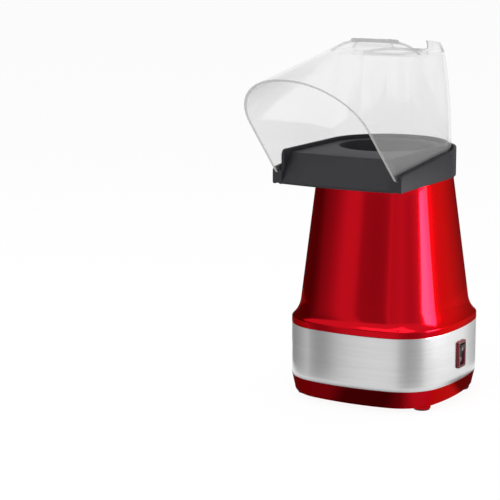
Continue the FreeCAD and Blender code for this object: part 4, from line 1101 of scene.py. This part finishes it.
seat_block = cut_from_form(step_front, REACH, seat_under, SEAT_Z)
step_block = cut_from_form(step_front, SEAT_FRONT, seat_under, REACH * 2)
above_seat = tool(block(-REACH, REACH, SEAT_FRONT, REACH, SEAT_Z, REACH * 2), clear_edge)
rim_space = rounded([(RIM_FRONT_Y, SEAT_Z - PAST, 0), (RIM_FRONT_Y, RIM_Z, 5.0), (REACH + PAST, RIM_Z, 0),
                     (REACH + PAST, SEAT_Z - PAST, 0)], 6)
rim_tool = tool(extruded_x(rim_space, -REACH - PAST, REACH + PAST), clear_edge)
combine(above_seat, rim_tool, "DIFFERENCE", "TRANSFER")
combine(hood, above_seat, "DIFFERENCE", "TRANSFER")
combine(hood, seat_block, "UNION")
combine(hood, step_block, "UNION")
front_wall = rounded([(STEP_HALF_W, SEAT_Z - 1.0, 0), (STEP_HALF_W, STEP_Z, 3.0), (-STEP_HALF_W, STEP_Z, 3.0),
                      (-STEP_HALF_W, SEAT_Z - 1.0, 0)], 5)
combine(hood, tool(extruded_y(front_wall, step_front, SEAT_FRONT), clear_edge), "UNION", "TRANSFER")
print("hood with seat", len(hood.data.polygons))

# %% [markdown]
# ## The mouth, the pour hole and the notch
# The mouth is cut on a slant from the crown's tip to the foot, with a round toe. A hole goes through the
# seat's floor, and a notch through the rim behind. Each cut leaves its own grey finish on the faces that it
# makes, because the edge of a clear sheet is where the eye finds it.

# %% Mouth, pour hole and notch
MOUTH_TOE = (-92.5, CHANNEL_Z)
TOE_R = 6.0
SIDE = 99.0
POUR_HALF_W, POUR_FRONT_Y, POUR_BACK_Y, POUR_R = 18.0, -16.0, 34.0, 8.0
NOTCH_HALF_W, NOTCH_Z, NOTCH_OVER_Z, NOTCH_R = 17.0, 288.0, 330.0, 6.0
NOTCH_FROM_Y = 36.5
run, rise = MOUTH_TOE[0] - MOUTH_TOP[0], MOUTH_TOE[1] - MOUTH_TOP[1]
forward = math.atan2(run, -rise)
toe = TOE_R * math.tan((math.pi / 2 - forward) / 2)
mouth_edge = [(MOUTH_TOP[0] - run, MOUTH_TOP[1] - rise)]
for step in range(7):
    angle = math.pi + forward + (math.pi / 2 - forward) * step / 6
    y = MOUTH_TOE[0] + toe + TOE_R * math.cos(angle)
    mouth_edge.append((y, CHANNEL_Z + TOE_R + TOE_R * math.sin(angle)))
mouth_edge += [(MOUTH_TOE[0] + toe, CHANNEL_Z - PAST), (-REACH - SIDE, CHANNEL_Z - PAST),
               (-REACH - SIDE, mouth_edge[0][1])]
combine(hood, tool(extruded_x(mouth_edge, -SIDE, SIDE), clear_edge), "DIFFERENCE", "TRANSFER")
pour = rounded([(POUR_HALF_W, POUR_FRONT_Y, POUR_R), (POUR_HALF_W, POUR_BACK_Y, POUR_R),
                (-POUR_HALF_W, POUR_BACK_Y, POUR_R), (-POUR_HALF_W, POUR_FRONT_Y, POUR_R)], 8)
pour_hole = skin([[(x, y, z) for x, y in pour] for z in (SEAT_Z - PAST, SEAT_Z + PAST)], False)
combine(hood, tool(pour_hole, clear_edge), "DIFFERENCE", "TRANSFER")
notch = rounded([(NOTCH_HALF_W, NOTCH_Z, NOTCH_R), (NOTCH_HALF_W, NOTCH_OVER_Z, 0),
                 (-NOTCH_HALF_W, NOTCH_OVER_Z, 0), (-NOTCH_HALF_W, NOTCH_Z, NOTCH_R)], 6)
combine(hood, tool(extruded_y(notch, NOTCH_FROM_Y, SIDE), clear_edge), "DIFFERENCE", "TRANSFER")
place(hood, "hood", "clear", "dome")

# %% [markdown]
# ## The popping chamber
# Under the tray's chimney is a round alloy pot with slots low in its wall. Hot air comes in through them on
# a slant and swirls. The pot is turned on the axis and slotted, and each slot has a small slanted hood. It
# shows through the chimney from above, so the slots are real openings.

# %% Chamber with its louvres
POT_Z = 106.05
POT_R, POT_BORE = 41.0, 39.8
FLANGE_R, FLANGE_UNDER, FLANGE_Z = 48.0, 188.0, 189.2
POT_FLOOR_Z = POT_Z + 1.2
SLOT_COUNT = 24
SLOT_HALF_W = 0.8
SLOT_FROM_R, SLOT_TO_R = 38.5, 42.5
SLOT_LOW, SLOT_HIGH = POT_Z + 5.0, POT_Z + 17.0
pot_profile = rounded([
    (AXIS_R, POT_Z, 0), (POT_R, POT_Z, 3.0), (POT_R, FLANGE_UNDER, 0.6), (FLANGE_R, FLANGE_UNDER, 0.2),
    (FLANGE_R, FLANGE_Z, 0.3), (POT_BORE, FLANGE_Z, 0.8), (POT_BORE, POT_FLOOR_Z, 2.0),
    (AXIS_R, POT_FLOOR_Z, 0),
], 4)
chamber_cup = solid("chamber_cup", [turned(pot_profile, 0.0, 0.0, ROUND_STEPS)], by_slot["cast_alloy"])
fin = [(39.9, 0.9), (39.9, 4.6), (37.6, 1.6), (37.6, 0.9)]
slots, hoods = [], []
for index in range(SLOT_COUNT):
    turn = Matrix.Rotation(2 * math.pi * index / SLOT_COUNT, 3, "Z")
    points, faces = block(SLOT_FROM_R, SLOT_TO_R, -SLOT_HALF_W, SLOT_HALF_W, SLOT_LOW, SLOT_HIGH)
    slots.append(([turn @ Vector(point) for point in points], faces))
    points, faces = skin([[(x, y, z) for x, y in fin] for z in (SLOT_LOW, SLOT_HIGH)], False)
    hoods.append(([turn @ Vector(point) for point in points], faces))
combine(chamber_cup, solid("tool", slots, charcoal), "DIFFERENCE")
place(chamber_cup, "base", "cast_alloy", "popping_chamber")
louvre_hoods = solid("louvre_hoods", hoods, by_slot["cast_alloy"])
place(louvre_hoods, "base", "cast_alloy")

# %% [markdown]
# ## The floor
# The picture has a clean white ground. The floor reads as white to the camera, to reflections and to what
# is seen through the hood, and to all other light it is a plain pale board, which keeps a soft shadow under
# the machine.

# %% Floor
FLOOR_HALF = 6.0
FLOOR_SEEN = 0.9
FLOOR_GLOW = 1.03
WHITE = rgb(1.0, 1.0, 1.0)


def seen_directly(tree):
    """One for a ray from the camera, from a reflection or through glass, and nought for other light."""
    rays = tree.nodes.new("ShaderNodeLightPath")
    seen = Wire(tree, rays.outputs["Is Camera Ray"]) + Wire(tree, rays.outputs["Is Transmission Ray"])
    return seen + Wire(tree, rays.outputs["Is Glossy Ray"])


floor_mesh = bpy.data.meshes.new("floor")
floor_corners = [(-1, -1), (1, -1), (1, 1), (-1, 1)]
floor_mesh.from_pydata([(x * FLOOR_HALF, y * FLOOR_HALF, 0) for x, y in floor_corners], [], [(0, 1, 2, 3)])
floor = bpy.data.objects.new("floor", floor_mesh)
scene.collection.objects.link(floor)
floor_paint = bpy.data.materials.new("floor_paint")
floor_paint.use_nodes = True
tree = floor_paint.node_tree
tree.nodes.clear()
seen = seen_directly(tree)
lit = seen.add("BsdfDiffuse", None, {"Color": rgb(0.86, 0.86, 0.86)})
glow = seen.add("Emission", None, {"Color": WHITE, "Strength": FLOOR_GLOW})
ground = seen.add("MixShader", None, {0: seen * FLOOR_SEEN, 1: lit, 2: glow})
out = tree.nodes.new("ShaderNodeOutputMaterial")
tree.links.new(ground.socket, out.inputs["Surface"])
floor_mesh.materials.append(floor_paint)
print("floor", tuple(round(side, 2) for side in floor.dimensions))

# %% [markdown]
# ## The surroundings
# A studio's walls are far off and white. The world is white where it is seen and dimmer as a lamp, so the
# white ground doesn't wash out the shade on the object.

# %% World
WORLD_LIGHT = 0.45
world = bpy.data.worlds.new("studio")
scene.world = world
world.use_nodes = True
tree = world.node_tree
tree.nodes.clear()
seen = seen_directly(tree)
strength = WORLD_LIGHT + seen * (1 - WORLD_LIGHT)
sky = seen.add("Background", None, {"Color": WHITE, "Strength": strength})
out = tree.nodes.new("ShaderNodeOutputWorld")
tree.links.new(sky.socket, out.inputs["Surface"])
print("world light", WORLD_LIGHT)

# %% [markdown]
# ## The lamps
# Two broad soft lamps give the object its shade: one from the front left and one from above. The front one
# is kept out of reflections, because the cards below draw those.


# %% Lamps
def lamp(name, at, aim, size, watts):
    """A square soft lamp that looks at a point."""
    light = bpy.data.lights.new(name, "AREA")
    light.shape = "SQUARE"
    light.size = size
    light.energy = watts
    made = bpy.data.objects.new(name, light)
    made.location = at
    made.rotation_euler = (Vector(aim) - Vector(at)).to_track_quat("-Z", "Y").to_euler()
    scene.collection.objects.link(made)
    return made


AIM = (0.0, 0.0, 0.15)
LAMP_WATTS = 10.0
fill = lamp("fill_front", (-0.9, -1.3, 0.9), AIM, 0.9, LAMP_WATTS)
fill.visible_glossy = False
lamp("top_soft", (0.0, -0.2, 1.6), AIM, 1.2, LAMP_WATTS)
print("lamps", len(bpy.data.lights))

# %% [markdown]
# ## Tones of the grey cards
# Lacquer and steel show what stands around them. Photographers bend grey card round a shiny object, so that
# its edges go deep and its faces get soft bands. Each list below gives a card's tone at some bearings, in
# degrees from +X, and a colour ramp fills in between. Nought is black and one is the white of the ground.

# %% Tones round the machine
RIGHT_TONES = [(30, 0.95), (44, 0.95), (54, 0.72), (64, 0.46), (76, 0.26), (92, 0.16), (135, 0.16)]
LEFT_TONES = [
    (135, 0.16), (160, 0.145), (205, 0.12), (214, 0.15), (226, 0.25), (234, 0.42), (239, 0.62),
    (244, 0.88), (253, 0.88), (256, 0.48), (266, 0.44), (272, 0.46), (279, 0.88),
]
CORNER_TONES = [
    (279, 0.9), (284, 0.74), (292, 0.76), (304, 0.82), (314, 0.74), (322, 0.66), (332, 0.74),
    (342, 0.88), (352, 0.97), (358, 1.0),
]
LOW_FRONT_TONES = [
    (165, 0.42), (184, 0.31), (203, 0.39), (219, 0.53), (228, 0.62), (233, 0.45), (237, 0.34),
    (242, 0.4), (250, 0.65), (260, 0.81), (272, 0.88), (286, 0.85), (295, 0.78), (302, 0.58),
    (312, 0.44), (323, 0.48), (331, 0.56), (340, 0.77), (360, 0.95),
]
LOW_RIGHT_TONES = [(0, 0.95), (22, 1.1), (43, 1.0), (49, 0.8), (55, 0.62), (62, 0.5), (80, 0.5)]
# The flat ring's tones are a painted shadow: dark where the floor's shadow round the foot shows in the skirt.
FLOOR_SHADOW_TONES = [
    (0, 0.8), (8, 0.8), (20, 0.2), (60, 0.15), (200, 0.2), (250, 0.25), (262, 0.08), (292, 0.07),
    (305, 0.2), (318, 0.7), (360, 0.8),
]


def tone_round(tones):
    """Paint whose tone follows the bearing from the machine's axis."""
    def recipe(place):
        behind = place.add("VectorMath", {"operation": "MULTIPLY"}, {0: place, 1: (-1.0, -1.0, 1.0)})
        turn = place.add("TexGradient", {"gradient_type": "RADIAL"}, {"Vector": behind}, 1)
        stops = [(bearing / 360, rgb(tone, tone, tone)) for bearing, tone in tones]
        return {"Emission Color": turn.add("ValToRGB", {"stops": stops}, {0: turn})}

    return recipe


print("tones low in front", len(LOW_FRONT_TONES))

# %% [markdown]
# ## Grey cards
# Tall curved cards stand round the machine for the red taper, low ones for the steel band, and a flat ring
# lies under the skirt. The ring is a painted shadow: the floor's shadow round the foot, as the skirt
# reflects it. Only reflections see them: the camera, the shade and the shadows take no notice.

# %% Cards round the machine
CARD_REACH = 210.0
LOW_REACH = 150.0
CARD_STEPS = 62
RING_CARD_Z = 0.5
RING_CARD_IN, RING_CARD_OUT = 10.0, 40.0
BLACK = rgb(0.0, 0.0, 0.0)


def stand_card(name, shell, recipe, glow=1.0):
    """A card that only reflections see."""
    paint = finish(name, recipe, base_color=BLACK, specular_ior_level=0.0, emission_strength=glow)
    mesh = bpy.data.meshes.new(name)
    mesh.from_pydata([Vector(point) * MM for point in shell[0]], [], shell[1])
    mesh.materials.append(paint)
    card = bpy.data.objects.new(name, mesh)
    card.visible_camera = False
    card.visible_diffuse = False
    card.visible_transmission = False
    card.visible_shadow = False
    scene.collection.objects.link(card)


def curved_wall(tones, reach, low, high):
    """A wall on a circle, from the first bearing of its tones to the last."""
    first, last = math.radians(tones[0][0]), math.radians(tones[-1][0])
    turns = [first + (last - first) * step / CARD_STEPS for step in range(CARD_STEPS + 1)]
    points = [(reach * math.cos(turn), reach * math.sin(turn), z) for z in (low, high) for turn in turns]
    return points, [(i, i + 1, i + CARD_STEPS + 2, i + CARD_STEPS + 1) for i in range(CARD_STEPS)]


cards = [
    ("right_card", RIGHT_TONES, CARD_REACH, 0.0, 182.0),
    ("left_card", LEFT_TONES, CARD_REACH, 0.0, 197.0),
    ("corner_card", CORNER_TONES, CARD_REACH, 60.0, 197.0),
    ("low_front_card", LOW_FRONT_TONES, LOW_REACH, 0.0, 75.0),
    ("low_right_card", LOW_RIGHT_TONES, LOW_REACH, 0.0, 75.0),
]
for name, tones, reach, low, high in cards:
    stand_card(name, curved_wall(tones, reach, low, high), tone_round(tones))
# The flat ring under the skirt is a painted shadow on the floor, which only the skirt's reflection sees.
near = ring_at(RING_CARD_Z, shrink(BASE, RING_CARD_IN))
far = ring_at(RING_CARD_Z, shrink(BASE, -RING_CARD_OUT))
points, faces = skin([near, far], False)
# A flat ring has no ends, so the skin's two caps are left off.
stand_card("floor_shadow_card", (points, faces[:-2]), tone_round(FLOOR_SHADOW_TONES))
print("cards", len(cards) + 1)

# %% [markdown]
# ## The bright strip
# A long strip lamp beside the right front corner draws the long highlight on the lacquer. It is a glowing
# card too, so that its corners can be set where the highlight's ends should lie. A ray that has come
# through the clear hood doesn't see it, which keeps a white patch off the inside of the plastic.

# %% Bright strip
STRIP_REACH = 205.0
STRIP_GLOW = 20.0
STRIP_CORNERS = ((-17.5, 62), (21, 62), (27.5, 191), (-4, 191))


def strip_tone(place):
    """White to lacquer, and dark to a ray that has come through the clear hood."""
    sheets = place.add("LightPath", None, None, "Transparent Depth")
    return {"Emission Color": sheets.maths("LESS_THAN", sheets, 0.5).blend(BLACK, WHITE)}


strip = []
for bearing, z in STRIP_CORNERS:
    turn = math.radians(bearing)
    strip.append((STRIP_REACH * math.cos(turn), STRIP_REACH * math.sin(turn), z))
stand_card("strip_card", (strip, [(0, 1, 2, 3)]), strip_tone, STRIP_GLOW)
print("strip glow", STRIP_GLOW)
